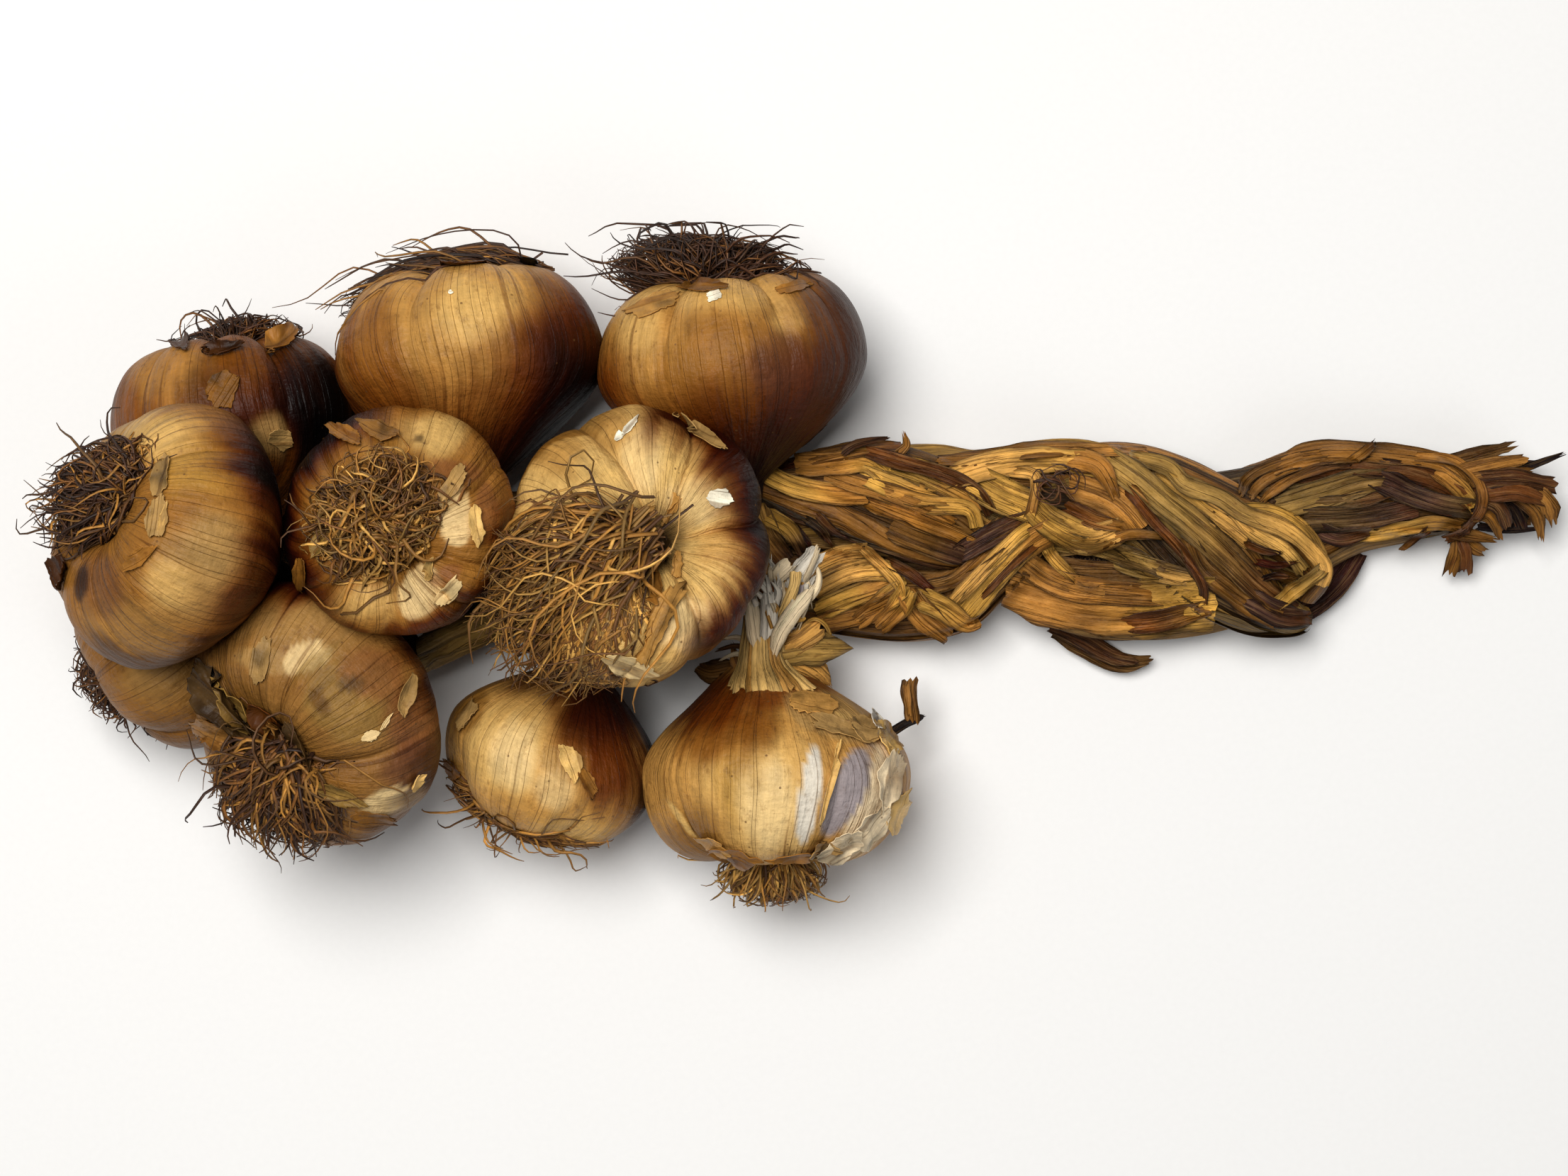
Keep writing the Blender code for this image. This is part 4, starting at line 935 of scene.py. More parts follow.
PATCH_FLOOR = -0.3  # how far below a bulb's middle its patches end, in radii
SOIL_REACH = (3, 9)  # soil covers the skin up to the first distance, and thins out to the second
FLAKE_SPOKES = 42  # mesh columns round a flake
FLAKE_RINGS = (0.02, 0.25, 0.5, 0.7, 0.86, 0.96, 1)  # its mesh rings, from its middle to its edge
FLAKE_CORNERS = 9
FLAKE_THICKNESS = 0.25
# A flake's torn edge is paler: partly its thin paper, partly a painted highlight.
TORN_EDGE_SHADE = 1.15  # how bright a flake's torn edge is
ABOVE_ALL = 200  # higher than any part of the braid
DOWN = Vector((0, 0, -1))


def clove_columns(creases, seed):
    """The angle and the furrow of each mesh column, closer together at the creases.

    The furrow is 0 on a clove's crown. In a crease it is up to 1, less where skin bridges it.
    """
    rng = np.random.default_rng(seed)
    depths = rng.uniform(*CREASE_DEPTHS, len(creases))
    angles, furrows = [], []
    for i, start in enumerate(creases):
        end = creases[i + 1] if i + 1 < len(creases) else creases[0] + 360
        steps = max(8, round((end - start) / 360 * BULB_COLUMNS))
        for step in range(steps):
            share = 0.5 - 0.5 * math.cos(math.pi * step / steps)
            share = 0.6 * share + 0.4 * step / steps
            across = 2 * share - 1
            depth = depths[i] if across < 0 else depths[(i + 1) % len(creases)]
            angles.append(math.radians(start + (end - start) * share))
            furrows.append(depth * (1 - math.sqrt(1 - 0.97 * across * across)))
    return np.array(angles), np.array(furrows)


def bulb_rings(bulb):
    """The radius, height and furrow depth of each ring, from the root plate to the neck."""
    rings = [(0.02, PLATE_HEIGHT * 0.97, 0.0), (PLATE_RADIUS, PLATE_HEIGHT, CREASE_AT_EQUATOR)]
    first = math.radians(CURL_START)
    for share in SLOPE_SHARES:
        radius = PLATE_RADIUS + (SHOULDER_RADIUS * (1 + math.cos(first)) - PLATE_RADIUS) * share
        height = PLATE_HEIGHT + (SHOULDER_HEIGHT * math.sin(first) - PLATE_HEIGHT) * share
        rings.append((radius, height, CREASE_AT_SHOULDER * share))
    for step in range(CURL_RINGS + 1):
        curl = first * (1 - step / CURL_RINGS)
        reach = 1 - SHOULDER_RADIUS if curl < math.pi / 2 else SHOULDER_RADIUS
        rise = math.sin(curl)
        depth = CREASE_AT_EQUATOR + (CREASE_AT_SHOULDER - CREASE_AT_EQUATOR) * rise
        rings.append((SHOULDER_RADIUS + reach * math.cos(curl), SHOULDER_HEIGHT * rise, depth))
    for step in range(1, BODY_RINGS + 1):
        share = step / BODY_RINGS
        flare = max(0, math.cos(math.pi / 2 * share)) ** BODY_FULLNESS
        radius = NECK_RADIUS + (1 - NECK_RADIUS) * flare
        rings.append((radius, -BODY_DEPTH * share, CREASE_AT_EQUATOR * (1 - share)))
    for share in NECK_SHARES:
        rings.append((NECK_RADIUS * (1 - NECK_TAPER * share), -BODY_DEPTH - bulb.neck * share, 0))
    return np.array(rings)


def bulb_axes(bulb):
    """The bulb's own axes as the columns of a matrix, the third one pointing at its roots."""
    turn = Euler((0, math.radians(90 - bulb.elevation), math.radians(bulb.azimuth)))
    return np.array(turn.to_matrix())


def grid_normals(points):
    """Normals of a grid whose columns go all the way round."""
    round_ = np.roll(points, -1, axis=1) - np.roll(points, 1, axis=1)
    along = np.gradient(points, axis=0)
    return unit(np.cross(along, round_))


def bulb_grid(bulb, seed):
    """Points of a bulb in the layout, and their grain."""
    angles, furrows = clove_columns(bulb.creases, seed)
    rings = bulb_rings(bulb)
    radius, height, depth = (rings[:, [k]] for k in range(3))
    furrow = 1 - depth * bulb.furrow * furrows
    r = bulb.radius * radius * furrow
    z = bulb.radius * height * np.where(height > 0, furrow, 1)
    local = np.stack((r * np.cos(angles) * bulb.stretch, r * np.sin(angles), z), -1)

    axes = bulb_axes(bulb)
    lean = np.array((*bulb.lean, 0)) @ axes
    local += smoothstep(0, SHOULDER_HEIGHT, height)[..., None] * lean * (1, 1, 0)
    bow = np.array((*bulb.bow, 0)) @ axes
    local += smoothstep(0.5 * BODY_DEPTH, BODY_DEPTH, -height)[..., None] * bow

    steps = np.linalg.norm(np.diff(local, axis=0), axis=-1).mean(axis=1)
    travelled = np.concatenate(((0,), np.cumsum(steps)))[:, None]
    bend = waver(0.05 * travelled, 1, seed)
    twist = angles + 0.12 * bend
    grain = np.stack((
        bulb.radius * np.cos(twist) + seed * 91,
        bulb.radius * np.sin(twist),
        np.broadcast_to(travelled, twist.shape),
    ), -1)

    # Low swellings, ribs that follow the fibres, and crinkles where the skin is loose.
    normals = grid_normals(local)
    rib_spots = grain * (1, 1, 0.05)
    relief = 0.5 * noise(local, 16, seed)
    relief += 0.22 * noise(rib_spots, 4.5, seed + 3) + 0.13 * noise(rib_spots, 2.2, seed + 4)
    relief += 0.2 * rough_noise(grain * (1, 1, 0.5), 6, seed + 5)
    relief *= smoothstep(0.05, 0.3, radius)
    local += normals * relief[..., None]
    return local @ axes.T + (bulb.x, bulb.y, bulb.z), grain


def smoke_and_shade_cover(side, bearing, inward, height):
    """How strongly a side's tone, partly smoked skin and partly painted shade, shows: in full at
    the bulb's outline and below it.
    """
    turn = np.abs((bearing - side.bearing + 180) % 360 - 180) / side.spread
    cover = 1 - smoothstep(0.25 * side.depth, side.depth, inward)
    return np.where(height < 0, 1, cover) * (1 - smoothstep(0.45, 1, turn))


def patch_cover(patch, offset, stray, streak):
    """How strongly a patch's tone shows. A crisp patch has the straighter and sharper edge."""
    turn = math.radians(patch.turn)
    x, y = offset[..., 0] - patch.x, offset[..., 1] - patch.y
    away = np.stack((
        (x * math.cos(turn) + y * math.sin(turn)) / patch.along,
        (y * math.cos(turn) - x * math.sin(turn)) / patch.across,
    ), -1)
    away = np.linalg.norm(away + (0.3 - 0.2 * patch.crisp) * stray, axis=-1)
    away = away + (0.34 - 0.2 * patch.crisp) * streak
    blur = 0.42 * (1 - 0.9 * patch.crisp)
    return 1 - smoothstep(0.85 - blur, 0.85 + blur, away)


def skin_tones(bulb, points, grain, base, patches, seed):
    """The tone at each point: the base, then every patch over it, with uneven edges."""
    tones = np.broadcast_to(linear(base), points.shape).copy()
    offset = points - (bulb.x, bulb.y, bulb.z)
    height = offset[..., 2]
    stray = np.stack((rough_noise(points, 9, seed), rough_noise(points, 9, seed + 1)), -1)
    streak = 0.6 * noise(grain * (1, 1, 0.04), 5, seed + 2)
    streak += 0.5 * noise(grain * (1, 1, 0.06), 2, seed + 3)
    reach = np.linalg.norm(offset[..., :2], axis=-1)
    inward = 1 - reach / np.hypot(offset[..., 0], offset[..., 1]).max()
    inward = inward + 0.14 * streak + 0.08 * stray[..., 0]
    bearing = np.degrees(np.arctan2(offset[..., 1], offset[..., 0]))
    for patch in patches:
        # Sides are partly smoked skin and partly painted shade at the outline and under the bulb.
        if isinstance(patch, Side):
            cover = smoke_and_shade_cover(patch, bearing, inward, height)
        else:
            cover = patch_cover(patch, offset, stray, streak)
            cover = cover * (height > PATCH_FLOOR * bulb.radius)
        tones += (patch.strength * cover)[..., None] * (linear(patch.tone) - tones)
    return tones * SKIN_SHADE


def root_plate_tones(tones, points, bulb):
    """Darkens the skin round the root plate, where soil and old roots cling."""
    axes = bulb_axes(bulb)
    plate = np.array((bulb.x, bulb.y, bulb.z)) + axes[:, 2] * bulb.radius * PLATE_HEIGHT
    plate = plate + (*bulb.lean, 0)
    away = np.linalg.norm(points - plate, axis=-1) + 1.5 * noise(points, 4)
    cover = 0.85 * (1 - smoothstep(*SOIL_REACH, away))
    return tones + cover[..., None] * (linear(GREY_BROWN) - tones)


def dropped(surface, spots, height):
    """Where spots seen from above lie on a surface, and its normals there."""
    places, normals = [], []
    for x, y in spots.reshape(-1, 2):
        place_at, normal, _, _ = surface.ray_cast(Vector((x, y, ABOVE_ALL)), DOWN)
        if place_at is None:
            place_at, normal, _, _ = surface.find_nearest(Vector((x, y, height)))
        places.append(place_at)
        normals.append(normal)
    shape = (*spots.shape[:-1], 3)
    return np.array(places).reshape(shape), np.array(normals).reshape(shape)


def torn_outline(seed):
    """Points round a torn scrap about 1 across each way, nearly straight between its corners."""
    rng = np.random.default_rng(seed)
    turns = np.arange(FLAKE_CORNERS) + rng.uniform(-0.35, 0.35, FLAKE_CORNERS)
    turns = turns * 2 * math.pi / FLAKE_CORNERS
    reach = rng.uniform(0.68, 1.14, FLAKE_CORNERS)
    corners = np.append(reach * np.exp(1j * turns), reach[0] * np.exp(1j * turns[0]))
    share = np.linspace(0, FLAKE_CORNERS, FLAKE_SPOKES, endpoint=False)
    outline = np.interp(share, np.arange(FLAKE_CORNERS + 1), corners)
    return outline * (1 + 0.06 * rng.normal(size=FLAKE_SPOKES))


def add_flake(pile, bulb, surface, flake, seed):
    """A thin scale with a torn edge that follows the bulb and lifts off it towards one side."""
    rings = np.array(FLAKE_RINGS)[:, None]
    outline = torn_outline(seed)
    round_ = np.stack((outline.real, outline.imag, 0 * outline.real + seed), -1)
    along = rings * outline.real * flake.long
    aside = rings * outline.imag * flake.wide
    turn = math.radians(flake.turn)
    spots = np.stack((
        flake.x + along * math.cos(turn) - aside * math.sin(turn),
        flake.y + along * math.sin(turn) + aside * math.cos(turn),
    ), -1)
    places, normals = dropped(surface, spots, bulb.z)
    one_side = 0.5 + 0.5 * noise(round_, 1.5, seed + 9)
    ridges = 1 - 2 * np.abs(noise(places, 4, seed + 4))
    lift = 0.35 + flake.lift * rings**3 * one_side + flake.crumple * (0.4 + ridges * rings**0.5)
    over = places + normals * lift[..., None]
    grain = np.stack((aside + seed * 7, 0 * along, along + 0 * aside), -1)
    stain = smoothstep(0, 0.7, rough_noise(places, 5, seed)) + 0.4 * noise(places, 1.6, seed)
    shade = 1 + 0.14 * noise(grain * (1, 1, 0.2), 1.5, seed) - 0.4 * stain
    # The torn edge is paler: partly thin paper, partly a painted highlight.
    shade = np.where(rings == 1, TORN_EDGE_SHADE, shade)
    tones = linear(flake.tone) * SKIN_SHADE * shade[..., None]
    pile.add_sheet(over, over - normals * FLAKE_THICKNESS, tones, grain, 0)


def add_bulbs(material):
    """Builds every bulb's skin with its flakes, and returns the skins' surfaces."""
    surfaces = {}
    for seed, (name, bulb) in enumerate(BULBS.items()):
        base, patches = SKINS[name]
        points, grain = bulb_grid(bulb, seed)
        tones = skin_tones(bulb, points, grain, base, patches, seed)
        tones = root_plate_tones(tones, points, bulb)
        pile = Pile()
        pile.add_grid(points, tones, grain, closed=True)
        surfaces[name] = pile.surface()
        for i, flake in enumerate(FLAKES[name]):
            add_flake(pile, bulb, surfaces[name], flake, 10 * seed + i)
        pile.build(name + "_skin", material, "skin_tan", name)
    return surfaces


# ---------------------------------------------------------------- roots

ROOT_STEPS = 12  # points along a root
ROOT_SIDES = 3
ROOT_FLATNESS = 0.7  # how thick a root is for its width
ROOT_AGEING = 0.45  # how far a root's soiled base and its tip turn to the tone ROOT_END
ROOT_WIDTHS = (0.55, 1.25)  # how wide a root is beside a typical one of its tuft
ROOT_SHADES = (0.55, 1.6)  # how bright a root is beside its tone
ORIGIN_SPREAD = 0.16  # how widely roots leave the bulb, as a share of their cushion
START_SPREAD = 0.3  # how far a root's first heading is off the combed one
CURL_CHANGE = 0.9  # how quickly the way that a root curls changes
CURL_PACE = 0.55  # how far it curls in each millimetre where its tuft's curl is 1
TURN_BACK = 1.3  # how strongly a root turns back at the edge of the cushion
CUSHION_ROOM = 1.04  # how far roots fill their cushion
STRAY_ROOM = (1.2, 2)  # and how far the strays do
STRAY_LENGTH = 1.25  # how much longer they are
ROOT_CLEARANCE = 0.5  # between a root and the skin of its bulb
NEAR_SKIN = 12  # a point deeper in a bulb than this isn't moved out
CORE_SHARE = 0.4  # the size of the body that fills a tuft beside its cushion
CORE_DROP = 0.5  # how far it lies below the cushion's middle, beside the cushion's half height

# The room that the braid may take up, which only stray roots would leave.
FIELD_LOW = (-188, -78, 0.6)
FIELD_HIGH = (202, 88, 92.5)


def tuft_axes(tuft):
    """The cushion's own axes as the columns of a matrix."""
    turn = Euler((0, math.radians(tuft.tilt), math.radians(tuft.azimuth)))
    return np.array(turn.to_matrix())


def root_paths(tuft, rng):
    """Centre lines of a tuft's roots, grown step by step from the bulb inside the cushion."""
    count = tuft.roots
    axes = tuft_axes(tuft)
    sizes = np.array((tuft.along, tuft.across, tuft.up))
    centre = np.array((tuft.x, tuft.y, tuft.z))
    spread = ORIGIN_SPREAD * rng.normal(size=(count, 3)) * sizes
    place_at = np.array(tuft.origin) + spread @ axes.T
    bearing = tuft.bearing + rng.uniform(-1, 1, count) * tuft.fan
    rise = rng.uniform(0.1, 1.1, count)
    step = rng.uniform(*tuft.length, (count, 1)) / (ROOT_STEPS - 1)
    stray = rng.uniform(size=(count, 1)) < tuft.stray
    room = CUSHION_ROOM * rng.uniform(0.5, 1.08, (count, 1)) ** 0.6
    room = np.where(stray, rng.uniform(*STRAY_ROOM, (count, 1)), room)
    step = np.where(stray, STRAY_LENGTH * step, step)

    def combed(share):
        """Where the tuft's roots head for at a share of their way."""
        way = np.radians(bearing + tuft.bend * share)
        slope = rise * (1 - 2 * share) - tuft.sag * share
        return unit(np.stack((np.cos(way), np.sin(way), slope), -1))

    curl = unit(rng.normal(size=(count, 3)))
    heading = unit(combed(0) + START_SPREAD * rng.normal(size=(count, 3)))
    paths = [place_at]
    for i in range(ROOT_STEPS - 1):
        curl = unit(curl + CURL_CHANGE * rng.normal(size=(count, 3)))
        heading = heading + tuft.curl * step * CURL_PACE * np.cross(curl, heading)
        heading = unit(heading + tuft.comb * (combed(i / (ROOT_STEPS - 1)) - heading))
        place_at = place_at + heading * step
        inside = (place_at - centre) @ axes / sizes
        reach = np.linalg.norm(inside, axis=-1, keepdims=True)
        outward = unit((inside / sizes) @ axes.T)
        beyond = reach > room
        leaving = np.maximum(0, np.sum(heading * outward, axis=-1, keepdims=True))
        heading = np.where(beyond, heading - TURN_BACK * leaving * outward, heading)
        pulled = centre + (inside / reach * room * sizes) @ axes.T
        place_at = np.where(beyond, pulled, place_at)
        paths.append(place_at)

    # Round off the corners between the steps.
    paths = np.stack(paths, axis=1)
    paths[:, 1:-1] = 0.4 * paths[:, 1:-1] + 0.3 * (paths[:, :-2] + paths[:, 2:])
    return paths


def keep_outside(paths, surface):
    """Moves the points that lie inside a bulb out to its skin."""
    flat = paths.reshape(-1, 3)
    for i, point in enumerate(flat):
        found, normal, _, away = surface.find_nearest(Vector(point))
        height = (Vector(point) - found).dot(normal)
        if away <= NEAR_SKIN and height < ROOT_CLEARANCE:
            flat[i] = found + normal * ROOT_CLEARANCE
    return flat.reshape(paths.shape)


def add_tubes(pile, paths, widths, tones):
    """A thin tapering tube along each path."""
    along = unit(np.gradient(paths, axis=1))
    side = unit(np.cross(along, (0.31, 0.17, 0.93)))
    up = np.cross(side, along)
    steps = paths.shape[1]
    taper = np.sin(np.linspace(0.5, 0.97, steps) * math.pi)[:, None] ** 0.6
    travelled = np.linspace(0, 25, steps)
    aged = ROOT_AGEING * np.abs(np.linspace(-0.9, 1, steps))[:, None, None] ** 1.5
    for i, path in enumerate(paths):
        ring = []
        for k in range(ROOT_SIDES):
            a = 2 * math.pi * k / ROOT_SIDES
            out = side[i] * math.cos(a) + up[i] * math.sin(a) * ROOT_FLATNESS
            ring.append(path + out * widths[i] * taper)
        points = np.stack(ring, 1)
        grain = np.zeros(points.shape)
        grain[..., 0] = i * 3.7
        grain[..., 2] = travelled[:, None]
        faded = tones[i] + aged * (linear(ROOT_END) - tones[i])
        pile.add_grid(points, faded, grain, closed=True)


def add_tuft_core(pile, tuft):
    """A closed oval body that fills the middle of a tuft."""
    lat = np.linspace(0.02, math.pi - 0.02, 9)[:, None]
    lon = np.linspace(0, 2 * math.pi, 14, endpoint=False)[None]
    ball = np.stack((np.sin(lat) * np.cos(lon), np.sin(lat) * np.sin(lon),
                     np.cos(lat) + 0 * lon), -1)
    centre = np.array((tuft.x, tuft.y, tuft.z - CORE_DROP * tuft.up))
    sizes = np.array((tuft.along, tuft.across, tuft.up)) * CORE_SHARE
    points = (ball * sizes) @ tuft_axes(tuft).T + centre
    pile.add_grid(points, linear(ROOT_DARK), points, closed=True)


def add_roots(material, surfaces):
    """Builds every bulb's tuft of roots. surfaces are the skins that the roots stay outside."""
    for seed, (name, tuft) in enumerate(TUFTS.items()):
        rng = np.random.default_rng(ROOT_SEED + seed)
        paths = root_paths(tuft, rng)
        paths = keep_outside(paths, surfaces[name.replace("roots", "bulb")])
        paths = np.clip(paths, FIELD_LOW, FIELD_HIGH)
        widths = tuft.half * rng.uniform(*ROOT_WIDTHS, tuft.roots)
        choice = rng.integers(0, len(tuft.tones), tuft.roots)
        tones = linear(np.array(tuft.tones))[choice]
        tones = tones * rng.uniform(*ROOT_SHADES, (tuft.roots, 1))
        pile = Pile()
        add_tuft_core(pile, tuft)
        add_tubes(pile, paths, widths, tones)
        pile.build(name + "_fibres", material, "dried_roots", name)


# ---------------------------------------------------------------- plaited leaves

STEPS_PER_SPAN = 9
BUNDLE_LEAF_COLUMNS = 9
CORE_SIDES = 12
CORE_FILL = 0.86  # the size of the body under a bundle's leaves beside the bundle


def smooth_stations(stations, steps):
    """A smooth curve through the stations, with every number of a station eased alike."""
    rows = (stations[0], *stations, stations[-1])
    found = []
    for before, start, end, after in zip(rows, rows[1:], rows[2:], rows[3:]):
        for step in range(steps):
            t = step / steps
            found.append([
                b + 0.5 * t * (c - a + t * (2 * a - 5 * b + 4 * c - d + t * (3 * (b - c) + d - a)))
                for a, b, c, d in zip(before, start, end, after)
            ])
    return np.array([*found, list(stations[-1])])


def route_frame(stations, steps):
    """Places along a route, with the directions across and above it scaled to its oval."""
    line = smooth_stations([(*station, 0)[:6] for station in stations], steps)
    places = line[:, :3]
    ahead = unit(np.gradient(places, axis=0))
    side = unit(np.cross(ahead, (0, 0, 1)))
    up = np.cross(side, ahead)
    roll = np.radians(line[:, 5])[:, None]
    across = side * np.cos(roll) + up * np.sin(roll)
    above = up * np.cos(roll) - side * np.sin(roll)
    return places, ahead, across * line[:, 3:4], above * line[:, 4:5]


def oval_reach(across, above, angles):
    """From the middle of each station to its oval. angles is an array of rows and columns."""
    cos, sin = np.cos(angles)[..., None], np.sin(angles)[..., None]
    return across[:, None] * cos + above[:, None] * sin


def add_shade_core(pile, places, across, above, tone):
    """The body of a bundle under its leaves, dark as a painted shade between them."""
    angles = np.linspace(0, 2 * math.pi, CORE_SIDES, endpoint=False)
    angles = np.broadcast_to(angles, (len(places), CORE_SIDES))
    points = places[:, None] + oval_reach(across, above, angles) * CORE_FILL
    pile.add_grid(points, linear(tone), points, closed=True)


def add_bundle_leaf(pile, route, angle, bundle, rng, seed):
    """One long leaf that hugs a bundle's oval, lifted at one edge over its neighbour."""
    places, _, across, above = route
    rows = len(places)
    along = np.linspace(0, 1, rows)
    start, end = rng.uniform(-0.2, 0.18), rng.uniform(0.85, 1.25)
    taper = smoothstep(start - 0.02, start + 0.1, along) * (1 - smoothstep(end - 0.12, end, along))
    columns = np.linspace(-1, 1, BUNDLE_LEAF_COLUMNS)[None]
    girth = np.sqrt((np.linalg.norm(across, axis=1) ** 2 + np.linalg.norm(above, axis=1) ** 2) / 2)
    width = bundle.half_width * rng.uniform(0.7, 1.4)
    drift = 0.5 * waver(along * 3, 1, seed, seed)
    edge = 1 + 0.25 * waver(along * 14, 1, seed, seed)
    half = (width * edge * (0.12 + 0.88 * taper) / girth)[:, None]
    angles = angle + drift[:, None] + columns * half

    grain = np.zeros((rows, BUNDLE_LEAF_COLUMNS, 3))
    grain[..., 0] = columns * width
    grain[..., 1] = seed * 5.3
    grain[..., 2] = lengths_along(places)[:, None] + seed * 31

    fold = rng.uniform(-0.2, 1.1) * (1 - np.abs(columns)) ** 1.2
    shingle = bundle.overlap * (0.5 + 0.5 * columns) * rng.choice((-1, 1))
    crinkle = 0.35 * rough_noise(grain * (1, 1, 0.25), 3, seed)
    lift = 0.4 * rng.uniform(-0.6, 1) + fold + shingle + crinkle
    lift -= 1.6 * (1 - taper)[:, None]
    out = oval_reach(across, above, angles)
    swell = 0.97 + lift / np.linalg.norm(out, axis=-1)
    points = places[:, None] + out * swell[..., None]

    # Painted shade: each strand leaf is darkened at random and as a whole, so the gaps between the
    # leaves laid over the plait read dark, and darker still towards its edges, where it meets the
    # next.
    tone = linear(bundle.tones[rng.integers(len(bundle.tones))]) * rng.uniform(0.45, 1.05)
    shade = 1 + 0.22 * noise(grain * (0.4, 1, 0.06), 1, seed + 5)
    shade *= 1 - 0.3 * np.abs(columns) ** 4
    tones = tone * shade[..., None]
    pile.add_grid(points, tones, grain)


def add_bundles(material):
    """Builds the strands and returns their surfaces as one."""
    ground = Pile()
    for seed, (name, bundle) in enumerate(BUNDLES.items()):
        rng = np.random.default_rng(STRAND_SEED + seed)
        route = route_frame(STRANDS[name], STEPS_PER_SPAN)
        places, _, across, above = route
        pile = Pile()
        # The dark core is painted shade that shows in the gaps between the leaves.
        add_shade_core(pile, places, across, above, MAHOGANY)
        for i in range(bundle.leaves):
            angle = 2 * math.pi * (i + rng.uniform(-0.25, 0.25)) / bundle.leaves
            add_bundle_leaf(pile, route, angle, bundle, rng, seed * 40 + i)
        pile.build(name + "_leaves", material, "dry_leaf", name)
        ground.add_pile(pile)
    return ground.surface()


# ---------------------------------------------------------------- leaves on the plait

LEAF_COLUMNS = 11
LEAF_ROWS_PER_SPAN = 9
LEAF_THICKNESS = 0.2
DROOP = 0.7  # how steeply a leaf's edge falls where nothing carries it


def smoothed(values, times):
    """An array eased along its rows and columns by its neighbours."""
    for _ in range(times):
        padded = np.pad(values, 1, mode="edge")
        values = (
            2 * values + padded[:-2, 1:-1] + padded[2:, 1:-1]
            + 0.5 * (padded[1:-1, :-2] + padded[1:-1, 2:])
        ) / 5
    return values


def ground_heights(ground, spots):
    """The height of the strands under each spot. Past their edge it falls away."""
    rows, columns = spots.shape[:2]
    heights = np.full((rows, columns), np.nan)
    for i, j in itertools.product(range(rows), range(columns)):
        place_at, *_ = ground.ray_cast(Vector((*spots[i, j], ABOVE_ALL)), DOWN)
        if place_at is not None:
            heights[i, j] = place_at.z
    middle = columns // 2
    known = np.flatnonzero(~np.isnan(heights[:, middle]))
    heights[:, middle] = np.interp(np.arange(rows), known, heights[known, middle])
    for step in (1, -1):
        j = middle + step
        while 0 <= j < columns:
            run = np.linalg.norm(spots[:, j] - spots[:, j - step], axis=-1)
            fallen = heights[:, j - step] - DROOP * run
            heights[:, j] = np.where(np.isnan(heights[:, j]), fallen, heights[:, j])
            heights[:, j] = np.maximum(heights[:, j], fallen - 2 * run)
            j += step
    return heights


def add_plait_leaf(pile, ground, leaf, seed):
    """A crumpled leaf that lies over the strands, with its sides following them."""
    line = smooth_stations(leaf.places, LEAF_ROWS_PER_SPAN)
    travelled = lengths_along(line)
    share = travelled / travelled[-1]
    ahead = unit(np.gradient(line, axis=0))
    side = np.stack((-ahead[:, 1], ahead[:, 0]), -1)
    columns = np.linspace(-1, 1, LEAF_COLUMNS)

    sway = waver(travelled, 5, seed)
    half = leaf.half * (1 + 0.2 * sway) * (1 - leaf.pointed * smoothstep(0.55, 1, share))
    half *= 0.75 + 0.25 * smoothstep(0, 0.15, share)
    spread = columns * half[:, None]
    torn = 1.1 * waver(columns * 3, 1, seed, seed)
    near_end = smoothstep(0.8, 1, share)[:, None] - smoothstep(0.2, 0, share)[:, None]
    spots = line[:, None] + side[:, None] * spread[..., None]
    spots = spots + ahead[:, None] * (near_end * torn)[..., None]

    grain = np.stack((
        spread + seed * 13.7,
        np.full(spread.shape, seed * 5.3),
        np.broadcast_to(travelled[:, None], spread.shape),
    ), -1)
    crease = 1 - 2 * np.abs(noise(grain * (1, 1, 0.3), 3.2, seed))
    ripple = noise(grain * (1, 1, 0.7), 4.5, seed + 1)
    rib = noise(grain * (1, 0, 0.05), 1.5, seed + 2)
    wrinkle = 1 - 2 * np.abs(noise(grain * (1, 1, 0.4), 1.4, seed + 6))
    relief = 0.75 * crease + 0.5 * ripple + 0.25 * rib + 0.22 * wrinkle

    below = ground_heights(ground, spots)
    height = np.maximum(smoothed(below, 4), below + 0.1)
    settle = smoothstep(0, 0.12, share) * (1 - smoothstep(0.88, 1, share))
    height = height + (leaf.lift * (0.25 + 0.75 * settle))[:, None] + relief
    height = height + 1.8 * leaf.curl * np.abs(columns) ** 3
    height = height + (leaf.rise * smoothstep(0.7, 1, share))[:, None]
    over = np.concatenate((spots, height[..., None]), -1)

    mix = smoothstep(0.3, 1, share + 0.15 * sway)[:, None, None]
    tones = linear(leaf.tone) * (1 - mix) + linear(leaf.tip) * mix
    # Painted light and shade: paler on the ridges of the relief and darker in its creases, with
    # random mottling, and darker towards the edges, where one leaf lies against the next.
    shade = 1.1 + 0.3 * noise(grain * (0.7, 1, 0.05), 1, seed + 3) + 0.36 * (relief - 0.15)
    shade *= 1 - 0.55 * np.abs(columns) ** 5
    tones = tones * np.clip(shade, 0.35, 1.7)[..., None]
    pile.add_sheet(over, over - (0, 0, LEAF_THICKNESS), tones, grain, 1)


def add_plait_leaves(material, ground):
    """Lays the leaves over the plait, whose surface is the ground."""
    pile = Pile()
    for i, leaf in enumerate(LEAVES):
        add_plait_leaf(pile, ground, leaf, LEAF_SEED + i)
    pile.build("plait_leaves", material, "dry_leaf")


# ---------------------------------------------------------------- loose leaves and stalks

RIBBON_COLUMNS = 7
RIBBON_STEPS_PER_SPAN = 5
RIBBON_THICKNESS = 0.3


